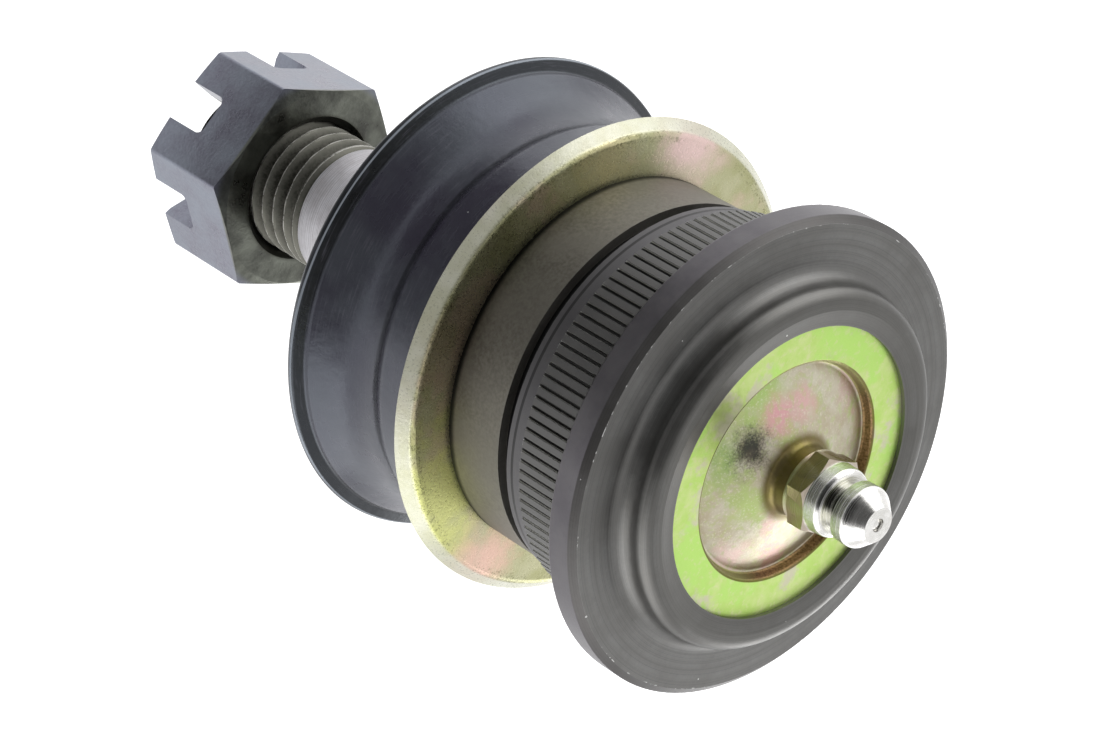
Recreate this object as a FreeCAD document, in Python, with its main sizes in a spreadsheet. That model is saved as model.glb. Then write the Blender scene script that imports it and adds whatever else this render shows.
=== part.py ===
"""Pressed-in suspension ball joint with a greasable metal-on-metal bearing.

Millimetres, +Z along the joint's axis towards the grease fitting.  The origin is on that
axis, in the plane where the flange seats on the suspension arm, so the stud hangs down -Z.
Names ending in _height count up from that plane and names ending in _depth count down.
"""
import FreeCAD, Part
import Sketcher
import math
import os

OUTPUT_FOLDER = "parts"

# Sketches are drawn roughly first, and their constraints then bring every point to its place.
ROUGH_CENTRE = FreeCAD.Vector(10, 0, 0)
ROUGH_RADIUS = 5.0

# How close a length has to be to count as the same, in millimetres, and a volume, in mm3.
SAME_LENGTH = 1e-3
SAME_VOLUME = 1e-6

# alias, value, what it is
SIZES = [
    # housing
    ("flange_radius", 26.9, "rim of the flange that stops the joint in the arm"),
    ("flange_thickness", 3.6, "seat to front face"),
    ("rim_chamfer_width", 0.8, "front edge of the rim, across the face"),
    ("rim_chamfer_rise", 0.65, "front edge of the rim, along the axis"),
    ("rim_back_round", 0.4, "back edge of the rim"),
    ("serration_radius", 22.3, "crests that bite into the arm"),
    ("serration_depth", 0.5, "crest to root"),
    ("serration_count", 118, "teeth round the press-fit band"),
    ("serration_mouth", 0.44, "width of a groove at the crests"),
    ("serration_root", 0.16, "width of a groove at its floor"),
    ("serration_length", 10.2, "length of the band below the seat"),
    ("serration_lead", 0.5, "lead-in at the end of the band"),
    ("pilot_radius", 21.65, "smooth land that starts the press"),
    ("pilot_length", 2.2, "length of that land"),
    ("snap_groove_radius", 20.2, "floor of the retaining ring groove"),
    ("snap_groove_width", 1.8, "width of the retaining ring groove"),
    ("neck_radius", 21.3, "turned neck that carries the boot"),
    ("housing_depth", 29.5, "seat to the stud end of the housing"),
    ("housing_end_chamfer", 1.0, "outer edge of the stud end"),
    ("boss_radius", 20.3, "raised hub round the cover"),
    ("boss_height", 3.65, "hub above the flange face"),
    ("boss_round", 1.5, "shoulder of the hub"),
    ("boss_root_round", 1.7, "sweep from the flange face into the hub"),
    ("lip_radius", 16.4, "edge of the crimped lip over the cover"),
    ("lip_crown_radius", 18.2, "where the lip turns down to the cover"),
    ("lip_edge_thickness", 0.5, "lip at its edge"),
    ("bore_radius", 16.6, "bore that holds both bearing shells"),
    ("bearing_seat_depth", 23.0, "shoulder under the lower bearing"),
    ("throat_radius", 12.8, "stud opening at that shoulder"),
    ("throat_mouth_radius", 15.9, "stud opening at the end of the housing"),
    # cover plate
    ("cover_radius", 17.7, "edge of the plate under the lip"),
    ("cover_height", 6.45, "upper face of the plate's rim"),
    ("cover_thickness", 1.5, "sheet thickness"),
    ("cover_clearance", 0.02, "plate to housing"),
    ("recess_radius", 12.2, "upper edge of the pressed recess"),
    ("recess_depth", 1.3, "rim to the foot of the dome"),
    ("recess_draft", 0.3, "lean of the recess wall"),
    ("recess_round", 0.35, "bends of the recess"),
    ("dome_rise", 2.8, "dome from its foot to the hub"),
    ("hub_radius", 3.8, "drawn hub round the fitting"),
    ("hub_length", 1.95, "hub above the dome"),
    ("hub_round", 0.8, "dome to hub"),
    ("hub_thread_radius", 3.1, "hole for the fitting's shank"),
    # bearings and preload
    ("ball_radius", 13.5, "ball of the stud"),
    ("ball_depth", 12.5, "seat plane to the centre of the ball"),
    ("ball_clearance", 0.05, "ball to bearing shells"),
    ("bearing_clearance", 0.05, "bearing shells to bore and shoulder"),
    ("bearing_gap", 0.5, "between the two shells"),
    ("race_throat_radius", 11.0, "opening of the lower shell at the ball"),
    ("race_mouth_radius", 12.5, "opening of the lower shell at the shoulder"),
    ("race_throat_length", 3.6, "flared part of that opening"),
    ("cup_height", 2.6, "upper face of the upper shell"),
    ("cup_chamfer", 1.0, "upper edge of the upper shell"),
    ("grease_hole_radius", 3.2, "grease way through the upper shell"),
    ("washer_radius", 10.5, "outside of the disc spring"),
    ("washer_hole_radius", 6.0, "hole of the disc spring"),
    ("washer_thickness", 0.9, "disc spring"),
    ("washer_clearance", 0.05, "disc spring to the upper shell"),
    # ball stud
    ("ball_flat_latitude", 75, "grease flat on the ball, degrees"),
    ("stud_neck_radius", 7.2, "neck between ball and taper"),
    ("stud_neck_depth", 31.0, "end of the neck"),
    ("stud_neck_round", 1.5, "neck to ball"),
    ("taper_shoulder_depth", 37.5, "where the shank is widest"),
    ("taper_start_depth", 40.0, "wide end of the taper"),
    ("taper_end_depth", 65.4, "narrow end of the taper"),
    ("taper_end_radius", 7.85, "narrow end of the taper"),
    ("taper_ratio", 8, "length for one of diameter"),
    ("relief_radius", 7.3, "thread run-out"),
    ("relief_length", 0.6, "thread run-out"),
    ("relief_run", 0.35, "sides of the run-out, along the axis"),
    ("stud_thread_radius", 7.9, "M16 thread, crests"),
    ("stud_end_depth", 87.0, "seat plane to the end of the stud"),
    ("stud_end_chamfer", 1.3, "end of the thread"),
    ("cotter_radius", 1.75, "hole for the split pin"),
    ("cotter_setback", 3.3, "end of the stud to the hole"),
    # castle nut
    ("nut_depth", 73.4, "seat plane to the nut's bearing face"),
    ("nut_height", 13.6, "bearing face to the slotted end"),
    ("nut_across_flats", 24.0, "spanner size"),
    ("nut_clearance", 0.06, "bore to thread crests"),
    ("nut_countersink", 0.9, "both ends of the bore"),
    ("nut_face_radius", 11.9, "bearing face inside its chamfer"),
    ("nut_end_radius", 11.3, "slotted end inside its chamfer"),
    ("nut_corner_round", 0.5, "six long corners"),
    ("nut_chamfer_angle", 17, "end chamfers, degrees"),
    ("slot_width", 5.0, "for the split pin"),
    ("slot_depth", 6.1, "for the split pin"),
    ("slot_round", 0.9, "corners of a slot's floor"),
    # boot and its rings
    ("retainer_setback", 7.45, "end of the housing to the face of the pressed retainer"),
    ("retainer_width", 6.15, "neck to the mouth of the flared skirt"),
    ("retainer_thickness", 1.1, "sheet thickness"),
    ("retainer_round", 0.8, "outer bend"),
    ("skirt_width", 1.35, "how far the skirt stands out beyond the flat face"),
    ("skirt_angle", 46, "skirt below the flat face, degrees"),
    ("boot_gap", 0.05, "rubber to metal, so that the solids stay apart"),
    ("bead_clearance", 0.4, "bead inside the bend of the retainer"),
    ("bead_length", 2.6, "bead held by the retainer"),
    ("band_wall", 2.65, "rubber on the neck, in the plain band under the retainer"),
    ("band_length", 1.3, "plain band beyond the end of the housing"),
    ("waist_step", 1.1, "band down to the hollow of the bell"),
    ("waist_drop", 1.1, "band to hollow, along the axis"),
    ("boot_waist_length", 1.4, "straight part of the hollow"),
    ("bell_length", 6.4, "hollow to the root of the brim"),
    ("brim_radius", 27.9, "edge of the brim"),
    ("brim_step", 1.6, "root to edge of the brim"),
    ("brim_drop", 0.9, "root to edge of the brim, along the axis"),
    ("brim_thickness", 0.9, "edge of the brim"),
    ("boot_wall", 1.7, "rubber wall"),
    ("cone_radius", 15.0, "end of the cone on the stud side"),
    ("cone_length", 6.9, "brim to the end of the cone"),
    ("crown_length", 1.4, "end of the cone to the collar"),
    ("collar_radius", 11.7, "collar that grips the stud"),
    ("collar_length", 4.0, "collar along the stud"),
    ("garter_groove_depth", 1.0, "groove of the garter ring"),
    ("garter_wire_radius", 0.7, "wire of the garter ring"),
    ("garter_side_gap", 0.2, "garter ring to the sides of its groove"),
    # grease fitting
    ("shank_radius", 3.08, "threaded shank in the hub"),
    ("shank_length", 3.2, "shank below its collar"),
    ("fitting_collar_radius", 4.1, "round foot of the fitting"),
    ("fitting_collar_height", 0.5, "round foot of the fitting"),
    ("fitting_across_flats", 7.9, "spanner size"),
    ("fitting_hex_height", 2.3, "hexagon above the foot"),
    ("fitting_hex_chamfer", 0.35, "corners of the hexagon"),
    ("fitting_hex_turn", -9, "where the thread stopped, degrees"),
    ("shoulder_radius", 3.75, "shoulder above the hexagon"),
    ("shoulder_height", 1.9, "shoulder above the hexagon"),
    ("shoulder_round", 0.7, "edge of the shoulder"),
    ("waist_radius", 2.55, "neck under the head"),
    ("waist_length", 0.6, "neck under the head"),
    ("head_radius", 3.4, "head that the gun's coupler grips"),
    ("head_undercut", 0.8, "neck to head, along the axis"),
    ("head_land", 1.6, "straight part of the head"),
    ("head_crown", 1.75, "land to tip, along the axis"),
    ("head_round", 1.0, "shoulder of the crown"),
    ("tip_radius", 1.95, "flat tip"),
    ("tip_hole_radius", 0.75, "mouth above the check ball"),
    ("valve_bore_radius", 1.15, "bore of the check valve"),
    ("valve_bore_length", 5.4, "valve seat to spring seat"),
    ("grease_way_radius", 0.7, "passage below the spring"),
    ("check_ball_radius", 1.0, "ball of the check valve"),
    ("check_ball_gap", 0.02, "ball to its seat"),
    ("check_ball_sink", 0.14, "top of the ball below the tip"),
    ("valve_spring_radius", 0.85, "to the centre of the wire"),
    ("valve_wire", 0.26, "side of the square wire"),
    ("valve_spring_turns", 5, "turns"),
    ("valve_spring_gap", 0.05, "wire to ball and seat"),
]

doc = FreeCAD.newDocument("BallJoint")


# ---------------------------------------------------------------- sheet and helpers

sheet = doc.addObject("Spreadsheet::Sheet", "dim")
sheet.Label = "Sizes"
for row, (alias, value, meaning) in enumerate(SIZES, start=1):
    sheet.set(f"A{row}", alias)
    sheet.set(f"B{row}", str(value))
    sheet.set(f"C{row}", meaning)
    sheet.setAlias(f"B{row}", alias)
doc.recompute()


def size(alias):
    """The sheet's present value of one size."""
    return float(sheet.get(alias))


def new_body(name):
    """An empty body; its label becomes the name of the sub-part's file."""
    body = doc.addObject("PartDesign::Body", name)
    body.Label = name
    return body


def origin_plane(body, role):
    """One of the body's own origin planes."""
    for feature in body.Origin.OriginFeatures:
        if feature.Role == role:
            return feature
    raise ValueError(f"{body.Name} has no {role}")


def new_sketch(body, name, role):
    """A sketch on one of the body's own origin planes."""
    sketch = body.newObject("Sketcher::SketchObject", name)
    sketch.AttachmentSupport = (origin_plane(body, role), [""])
    sketch.MapMode = "FlatFace"
    return sketch


def place_point(sketch, geometry, point, across, along):
    """Tie a point of a sketch to two expressions, counted from the sketch's origin.

    Point 1 is the start of an edge, and point 3 the centre of a circle.
    """
    if across == "0":
        sketch.addConstraint(Sketcher.Constraint("PointOnObject", geometry, point, -2))
    else:
        index = sketch.addConstraint(Sketcher.Constraint("DistanceX", -1, 1, geometry, point, 1.0))
        sketch.setExpression(f"Constraints[{index}]", across)
    if along == "0":
        sketch.addConstraint(Sketcher.Constraint("PointOnObject", geometry, point, -1))
    else:
        index = sketch.addConstraint(Sketcher.Constraint("DistanceY", -1, 1, geometry, point, 1.0))
        sketch.setExpression(f"Constraints[{index}]", along)


def profile(body, name, corners, role="XZ_Plane"):
    """A closed outline of straight edges; each corner is a pair of expressions.

    On the XZ plane the pair is the distance from the joint's axis and the height.
    """
    sketch = new_sketch(body, name, role)
    count = len(corners)
    rough = []
    for index in range(count):
        turn = 2 * math.pi * index / count
        rough.append(ROUGH_CENTRE + FreeCAD.Vector(math.cos(turn), math.sin(turn), 0) * ROUGH_RADIUS)
    for index in range(count):
        sketch.addGeometry(Part.LineSegment(rough[index], rough[(index + 1) % count]))
    for index in range(count):
        sketch.addConstraint(Sketcher.Constraint("Coincident", index, 2, (index + 1) % count, 1))
    for index, (across, along) in enumerate(corners):
        place_point(sketch, index, 1, across, along)
    doc.recompute()
    return sketch


def circle(body, name, radius_expression, across, along, role="XZ_Plane"):
    """A circle whose centre is a pair of expressions."""
    sketch = new_sketch(body, name, role)
    sketch.addGeometry(Part.Circle(ROUGH_CENTRE, FreeCAD.Vector(0, 0, 1), ROUGH_RADIUS))
    place_point(sketch, 0, 3, across, along)
    radius = sketch.addConstraint(Sketcher.Constraint("Radius", 0, ROUGH_RADIUS))
    sketch.setExpression(f"Constraints[{radius}]", radius_expression)
    doc.recompute()
    return sketch


def turn_profile(body, kind, name, sketch):
    """Turn an outline a full circle about the joint's axis, adding or cutting."""
    feature = body.newObject(kind, name)
    feature.Profile = sketch
    feature.ReferenceAxis = (sketch, ["V_Axis"])
    feature.Angle = 360
    body.Tip = feature
    doc.recompute()
    return feature


def turned(body, name, corners):
    """A turned solid."""
    outline = profile(body, name + "Profile", corners)
    return turn_profile(body, "PartDesign::Revolution", name, outline)


def turned_cut(body, name, corners):
    """A turned cut; it has to remove something."""
    before = body.Shape.Volume
    outline = profile(body, name + "Profile", corners)
    feature = turn_profile(body, "PartDesign::Groove", name, outline)
    require_less(body, before, name)
    return feature


def require_less(body, before, name):
    """A cut that points away from the solid removes nothing and raises no error."""
    if not body.Shape.Volume < before - SAME_VOLUME:
        raise RuntimeError(f"{name} cuts nothing from {body.Name}")


def ring_edges(body, rings):
    """Names of the circular edges that run round the axis at the given radius and height."""
    names = []
    for radius, height in rings:
        found = []
        for index, edge in enumerate(body.Shape.Edges, start=1):
            curve = edge.Curve
            if curve.TypeId != "Part::GeomCircle":
                continue
            off_axis = math.hypot(curve.Center.x, curve.Center.y)
            off_radius = abs(curve.Radius - radius)
            off_height = abs(curve.Center.z - height)
            if max(off_axis, off_radius, off_height) < SAME_LENGTH:
                found.append(f"Edge{index}")
        if not found:
            raise RuntimeError(f"{body.Name} has no ring of radius {radius} at height {height}")
        names.extend(found)
    return names


def rounded(body, name, edges, radius_expression):
    """Fillet the named edges of the body's tip."""
    base = body.Tip
    feature = body.newObject("PartDesign::Fillet", name)
    feature.Base = (base, edges)
    feature.setExpression("Radius", radius_expression)
    body.Tip = feature
    doc.recompute()
    return feature


def sphere(body, kind, name, radius_expression, height_expression):
    """Add or cut a sphere centred on the joint's axis."""
    feature = body.newObject(kind, name)
    feature.AttachmentSupport = (origin_plane(body, "XY_Plane"), [""])
    feature.MapMode = "FlatFace"
    feature.setExpression("Radius", radius_expression)
    feature.setExpression("AttachmentOffset.Base.z", height_expression)
    body.Tip = feature
    doc.recompute()
    return feature


def hexagon(body, name, across_flats_expression, height_expression, turn):
    """A hexagon round the joint's axis with a corner at the given turn in degrees."""
    sketch = new_sketch(body, name, "XY_Plane")
    rotation = FreeCAD.Rotation(FreeCAD.Vector(0, 0, 1), turn)
    sketch.AttachmentOffset = FreeCAD.Placement(FreeCAD.Vector(0, 0, 0), rotation)
    sketch.setExpression("AttachmentOffset.Base.z", height_expression)
    corners = []
    for index in range(6):
        angle = math.radians(60 * index)
        corners.append(FreeCAD.Vector(math.cos(angle), math.sin(angle), 0))
    for index in range(6):
        sketch.addGeometry(Part.LineSegment(corners[index], corners[(index + 1) % 6]))
    guide = sketch.addGeometry(Part.Circle(FreeCAD.Vector(0, 0, 0), FreeCAD.Vector(0, 0, 1), 1), True)
    sketch.addConstraint(Sketcher.Constraint("Coincident", guide, 3, -1, 1))
    for index in range(6):
        sketch.addConstraint(Sketcher.Constraint("Coincident", index, 2, (index + 1) % 6, 1))
        sketch.addConstraint(Sketcher.Constraint("PointOnObject", index, 1, guide))
    for index in range(1, 6):
        sketch.addConstraint(Sketcher.Constraint("Equal", 0, index))
    sketch.addConstraint(Sketcher.Constraint("PointOnObject", 0, 1, -1))
    radius = sketch.addConstraint(Sketcher.Constraint("Radius", guide, 1.0))
    sketch.setExpression(f"Constraints[{radius}]", f"{across_flats_expression} / 2 / cos(30)")
    doc.recompute()
    return sketch


def padded(body, name, sketch, length_expression, reverse=False):
    """Pad a sketch along its normal."""
    feature = body.newObject("PartDesign::Pad", name)
    feature.Profile = sketch
    feature.setExpression("Length", length_expression)
    feature.Reversed = reverse
    body.Tip = feature
    doc.recompute()
    return feature


def cut_through(body, name, sketch):
    """Cut a sketch right through the body, both ways from its plane."""
    before = body.Shape.Volume
    feature = body.newObject("PartDesign::Pocket", name)
    feature.Profile = sketch
    feature.SideType = "Symmetric"
    feature.Type = "ThroughAll"
    body.Tip = feature
    doc.recompute()
    require_less(body, before, name)
    return feature


def repeated(body, name, original, angle, count_expression):
    """Repeat a feature round the joint's axis; a full circle is 360 degrees."""
    feature = body.newObject("PartDesign::PolarPattern", name)
    feature.Originals = [original]
    feature.Axis = (origin_plane(body, "Z_Axis"), [""])
    feature.Angle = angle
    feature.setExpression("Occurrences", count_expression)
    body.Tip = feature
    doc.recompute()
    return feature


# ---------------------------------------------------------------- housing

# Forged and turned: flange, serrated press-fit band, retaining ring groove, neck, and a
# through bore whose cover end is crimped over the plate.
housing = new_body("housing")
boss_top = "dim.flange_thickness + dim.boss_height"
ledge = "dim.cover_height - dim.cover_thickness"
lip_under = "dim.cover_height + dim.cover_clearance"
pilot_depth = "dim.serration_length + dim.pilot_length"
groove_depth = f"{pilot_depth} + dim.snap_groove_width"
turned(housing, "HousingTurned", [
    ("dim.lip_radius", lip_under),
    ("dim.lip_radius", f"{lip_under} + dim.lip_edge_thickness"),
    ("dim.lip_crown_radius", boss_top),
    ("dim.boss_radius", boss_top),
    ("dim.boss_radius", "dim.flange_thickness"),
    ("dim.flange_radius - dim.rim_chamfer_width", "dim.flange_thickness"),
    ("dim.flange_radius", "dim.flange_thickness - dim.rim_chamfer_rise"),
    ("dim.flange_radius", "0"),
    ("dim.serration_radius", "0"),
    ("dim.serration_radius", "dim.serration_lead - dim.serration_length"),
    ("dim.pilot_radius", "-dim.serration_length"),
    ("dim.pilot_radius", f"-({pilot_depth})"),
    ("dim.snap_groove_radius", f"-({pilot_depth})"),
    ("dim.snap_groove_radius", f"-({groove_depth})"),
    ("dim.neck_radius", f"-({groove_depth})"),
    ("dim.neck_radius", "dim.housing_end_chamfer - dim.housing_depth"),
    ("dim.neck_radius - dim.housing_end_chamfer", "-dim.housing_depth"),
    ("dim.throat_mouth_radius", "-dim.housing_depth"),
    ("dim.throat_radius", "-dim.bearing_seat_depth"),
    ("dim.bore_radius", "-dim.bearing_seat_depth"),
    ("dim.bore_radius", ledge),
    ("dim.cover_radius + dim.cover_clearance", ledge),
    ("dim.cover_radius + dim.cover_clearance", lip_under),
])
boss_rings = ring_edges(housing, [(size("boss_radius"), size("flange_thickness") + size("boss_height"))])
rounded(housing, "BossShoulder", boss_rings, "dim.boss_round")
root_rings = ring_edges(housing, [(size("boss_radius"), size("flange_thickness"))])
rounded(housing, "BossSweep", root_rings, "dim.boss_root_round")
rounded(housing, "RimBack", ring_edges(housing, [(size("flange_radius"), 0)]), "dim.rim_back_round")

# One groove of the press-fit band, tapered to its floor, then repeated round the band.
tooth_gap = profile(housing, "SerrationGap", [
    ("dim.serration_radius - dim.serration_depth", "-dim.serration_root / 2"),
    ("dim.serration_radius + dim.serration_depth", "-dim.serration_mouth + dim.serration_root / 2"),
    ("dim.serration_radius + dim.serration_depth", "dim.serration_mouth - dim.serration_root / 2"),
    ("dim.serration_radius - dim.serration_depth", "dim.serration_root / 2"),
], "XY_Plane")
volume_before = housing.Shape.Volume
serration = housing.newObject("PartDesign::Pocket", "SerrationCut")
serration.Profile = tooth_gap
serration.setExpression("Length", "dim.serration_length")
housing.Tip = serration
doc.recompute()
require_less(housing, volume_before, "SerrationCut")
repeated(housing, "Serrations", serration, 360, "dim.serration_count")


# ---------------------------------------------------------------- cover plate

# Pressed from sheet: flat rim under the lip, recess, dome, and a drawn hub for the fitting.
cover = new_body("cover_plate")
dome_foot_radius = "(dim.recess_radius - dim.recess_draft)"
dome_foot = "(dim.cover_height - dim.recess_depth)"
dome_slope = f"(dim.dome_rise / ({dome_foot_radius} - dim.hub_radius))"
dome_top = f"({dome_foot} + dim.dome_rise)"
dome_wall = f"(dim.cover_thickness * sqrt(1 + {dome_slope} * {dome_slope}))"
hub_top = f"({dome_top} + dim.hub_length)"


def dome_height(radius_expression):
    """Upper face of the dome at a radius."""
    return f"({dome_foot} + ({dome_foot_radius} - {radius_expression}) * {dome_slope})"


turned(cover, "CoverPressed", [
    ("dim.hub_thread_radius", f"{dome_height('dim.hub_thread_radius')} - {dome_wall}"),
    ("dim.hub_thread_radius", hub_top),
    ("dim.hub_radius", hub_top),
    ("dim.hub_radius", dome_top),
    (dome_foot_radius, dome_foot),
    ("dim.recess_radius", "dim.cover_height"),
    ("dim.cover_radius", "dim.cover_height"),
    ("dim.cover_radius", ledge),
    ("dim.recess_radius + dim.cover_thickness", ledge),
    (dome_foot_radius, f"{dome_foot} - {dome_wall}"),
])
recess_foot_height = size("cover_height") - size("recess_depth")
recess_foot_radius = size("recess_radius") - size("recess_draft")
recess_rings = ring_edges(cover, [
    (size("recess_radius"), size("cover_height")),
    (recess_foot_radius, recess_foot_height),
])
rounded(cover, "RecessBends", recess_rings, "dim.recess_round")
hub_rings = ring_edges(cover, [(size("hub_radius"), recess_foot_height + size("dome_rise"))])
rounded(cover, "HubSweep", hub_rings, "dim.hub_round")


# ---------------------------------------------------------------- bearing shells and disc spring

ball_seat = "(dim.ball_radius + dim.ball_clearance)"
shell_radius = "(dim.bore_radius - dim.bearing_clearance)"

# Lower shell: carries the ball on the stud side and stands on the housing's shoulder.
stud_bearing = new_body("stud_bearing")
stud_bearing_top = "-(dim.ball_depth + dim.bearing_gap / 2)"
stud_bearing_foot = "dim.bearing_clearance - dim.bearing_seat_depth"
turned(stud_bearing, "StudBearingTurned", [
    ("dim.race_throat_radius", stud_bearing_top),
    (shell_radius, stud_bearing_top),
    (shell_radius, stud_bearing_foot),
    ("dim.race_mouth_radius", stud_bearing_foot),
    ("dim.race_throat_radius", f"{stud_bearing_foot} + dim.race_throat_length"),
])
sphere(stud_bearing, "PartDesign::SubtractiveSphere", "StudBearingSeat", ball_seat, "-dim.ball_depth")

# Upper shell: pressed down on the ball by the disc spring, with a grease way in its crown.
cup = new_body("pressure_cup")
cup_foot = "dim.bearing_gap / 2 - dim.ball_depth"
turned(cup, "CupTurned", [
    ("dim.grease_hole_radius", cup_foot),
    (shell_radius, cup_foot),
    (shell_radius, "dim.cup_height - dim.cup_chamfer"),
    (f"{shell_radius} - dim.cup_chamfer", "dim.cup_height"),
    ("dim.grease_hole_radius", "dim.cup_height"),
])
sphere(cup, "PartDesign::SubtractiveSphere", "CupSeat", ball_seat, "-dim.ball_depth")

# Disc spring: its outer edge presses the upper shell, its inner edge bears on the dome.
washer = new_body("disc_spring")
washer_foot = "dim.cup_height + dim.washer_clearance"
washer_top = f"{dome_height('dim.washer_hole_radius')} - {dome_wall}"
turned(washer, "WasherTurned", [
    ("dim.washer_radius", washer_foot),
    ("dim.washer_radius", f"{washer_foot} + dim.washer_thickness"),
    ("dim.washer_hole_radius", washer_top),
    ("dim.washer_hole_radius", f"{washer_top} - dim.washer_thickness"),
])


# ---------------------------------------------------------------- ball stud

stud = new_body("ball_stud")
taper_drop = "(dim.taper_end_depth - dim.taper_start_depth) / dim.taper_ratio / 2"
taper_start_radius = f"(dim.taper_end_radius + {taper_drop})"
relief_start = "dim.taper_end_depth + dim.relief_run"
relief_end = f"{relief_start} + dim.relief_length"
turned(stud, "Shank", [
    ("0", "-dim.ball_depth"),
    ("dim.stud_neck_radius", "-dim.ball_depth"),
    ("dim.stud_neck_radius", "-dim.stud_neck_depth"),
    (taper_start_radius, "-dim.taper_shoulder_depth"),
    (taper_start_radius, "-dim.taper_start_depth"),
    ("dim.taper_end_radius", "-dim.taper_end_depth"),
    ("dim.relief_radius", f"-({relief_start})"),
    ("dim.relief_radius", f"-({relief_end})"),
    ("dim.stud_thread_radius", f"-({relief_end} + dim.relief_run)"),
    ("dim.stud_thread_radius", "dim.stud_end_chamfer - dim.stud_end_depth"),
    ("dim.stud_thread_radius - dim.stud_end_chamfer", "-dim.stud_end_depth"),
    ("0", "-dim.stud_end_depth"),
])
ball = sphere(stud, "PartDesign::AdditiveSphere", "Ball", "dim.ball_radius", "-dim.ball_depth")
ball.setExpression("Angle2", "dim.ball_flat_latitude")
doc.recompute()
neck_drop = math.sqrt(size("ball_radius") ** 2 - size("stud_neck_radius") ** 2)
neck_rings = ring_edges(stud, [(size("stud_neck_radius"), -size("ball_depth") - neck_drop)])
rounded(stud, "NeckSweep", neck_rings, "dim.stud_neck_round")

# The split pin's hole lies between the floor of the nut's slots and the end of the stud.
pin_depth = "(dim.stud_end_depth - dim.cotter_setback)"
pin_hole = circle(stud, "CotterHole", "dim.cotter_radius", "0", f"-{pin_depth}")
cut_through(stud, "CotterCut", pin_hole)


# ---------------------------------------------------------------- castle nut

nut = new_body("castle_nut")
nut_end = "(dim.nut_depth + dim.nut_height)"
nut_corner = "(dim.nut_across_flats / 2 / cos(30))"
nut_bore = "(dim.stud_thread_radius + dim.nut_clearance)"
nut_hexagon = hexagon(nut, "NutHexagon", "dim.nut_across_flats", f"-{nut_end}", 0)
padded(nut, "NutBlank", nut_hexagon, "dim.nut_height")
long_corners = []
for number, edge in enumerate(nut.Shape.Edges, start=1):
    ends = [vertex.Point for vertex in edge.Vertexes]
    if abs(ends[1].z - ends[0].z) > SAME_LENGTH:
        long_corners.append(f"Edge{number}")
rounded(nut, "NutCorners", long_corners, "dim.nut_corner_round")
turned_cut(nut, "NutBore", [
    ("0", "-dim.nut_depth"),
    (f"{nut_bore} + dim.nut_countersink", "-dim.nut_depth"),
    (nut_bore, "-(dim.nut_depth + dim.nut_countersink)"),
    (nut_bore, f"dim.nut_countersink - {nut_end}"),
    (f"{nut_bore} + dim.nut_countersink", f"-{nut_end}"),
    ("0", f"-{nut_end}"),
])
face_drop = f"({nut_corner} - dim.nut_face_radius) * tan(dim.nut_chamfer_angle)"
turned_cut(nut, "NutFaceChamfer", [
    ("dim.nut_face_radius", "-dim.nut_depth"),
    (nut_corner, "-dim.nut_depth"),
    (nut_corner, f"-(dim.nut_depth + {face_drop})"),
])
end_drop = f"({nut_corner} - dim.nut_end_radius) * tan(dim.nut_chamfer_angle)"
turned_cut(nut, "NutEndChamfer", [
    ("dim.nut_end_radius", f"-{nut_end}"),
    (nut_corner, f"{end_drop} - {nut_end}"),
    (nut_corner, f"-{nut_end}"),
])
slot = profile(nut, "SlotOutline", [
    ("-dim.slot_width / 2", f"-{nut_end} - dim.slot_depth"),
    ("dim.slot_width / 2", f"-{nut_end} - dim.slot_depth"),
    ("dim.slot_width / 2", f"dim.slot_depth - {nut_end}"),
    ("-dim.slot_width / 2", f"dim.slot_depth - {nut_end}"),
])
first_slot = cut_through(nut, "Slot", slot)
# Each cut goes right through, so three of them, 60 degrees apart, make the six slots.
repeated(nut, "Slots", first_slot, 120, "3")
slot_floor = size("slot_depth") - size("nut_depth") - size("nut_height")
floor_edges = []
for number, edge in enumerate(nut.Shape.Edges, start=1):
    ends = [vertex.Point for vertex in edge.Vertexes]
    if len(ends) != 2 or edge.Curve.TypeId != "Part::GeomLine":
        continue
    if max(abs(end.z - slot_floor) for end in ends) > SAME_LENGTH:
        continue
    along = ends[1] - ends[0]
    if abs(along.cross(ends[0]).z) / along.Length > size("slot_width") / 2 + SAME_LENGTH:
        continue
    floor_edges.append(f"Edge{number}")
rounded(nut, "SlotFloors", floor_edges, "dim.slot_round")


# ---------------------------------------------------------------- boot, retainer, garter

# Pressed retainer: flat face on the neck, skirt flared back over the boot's bead.
retainer = new_body("boot_retainer")
retainer_face = "(dim.housing_depth - dim.retainer_setback)"
mouth_radius = "(dim.neck_radius + dim.retainer_width)"
face_radius = f"({mouth_radius} - dim.skirt_width)"
mouth_depth = f"({retainer_face} + dim.skirt_width * tan(dim.skirt_angle))"
inner_bend = f"({face_radius} - dim.retainer_thickness * tan(dim.skirt_angle / 2))"
turned(retainer, "RetainerPressed", [
    ("dim.neck_radius", f"-{retainer_face}"),
    (face_radius, f"-{retainer_face}"),
    (mouth_radius, f"-{mouth_depth}"),
    (f"{mouth_radius} - dim.retainer_thickness * sin(dim.skirt_angle)",
     f"-({mouth_depth} + dim.retainer_thickness * cos(dim.skirt_angle))"),
    (inner_bend, f"-({retainer_face} + dim.retainer_thickness)"),
    ("dim.neck_radius", f"-({retainer_face} + dim.retainer_thickness)"),
])
face_radius_value = size("neck_radius") + size("retainer_width") - size("skirt_width")
face_depth_value = size("housing_depth") - size("retainer_setback")
rounded(retainer, "RetainerBend", ring_edges(retainer, [(face_radius_value, -face_depth_value)]),
        "dim.retainer_round")

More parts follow.
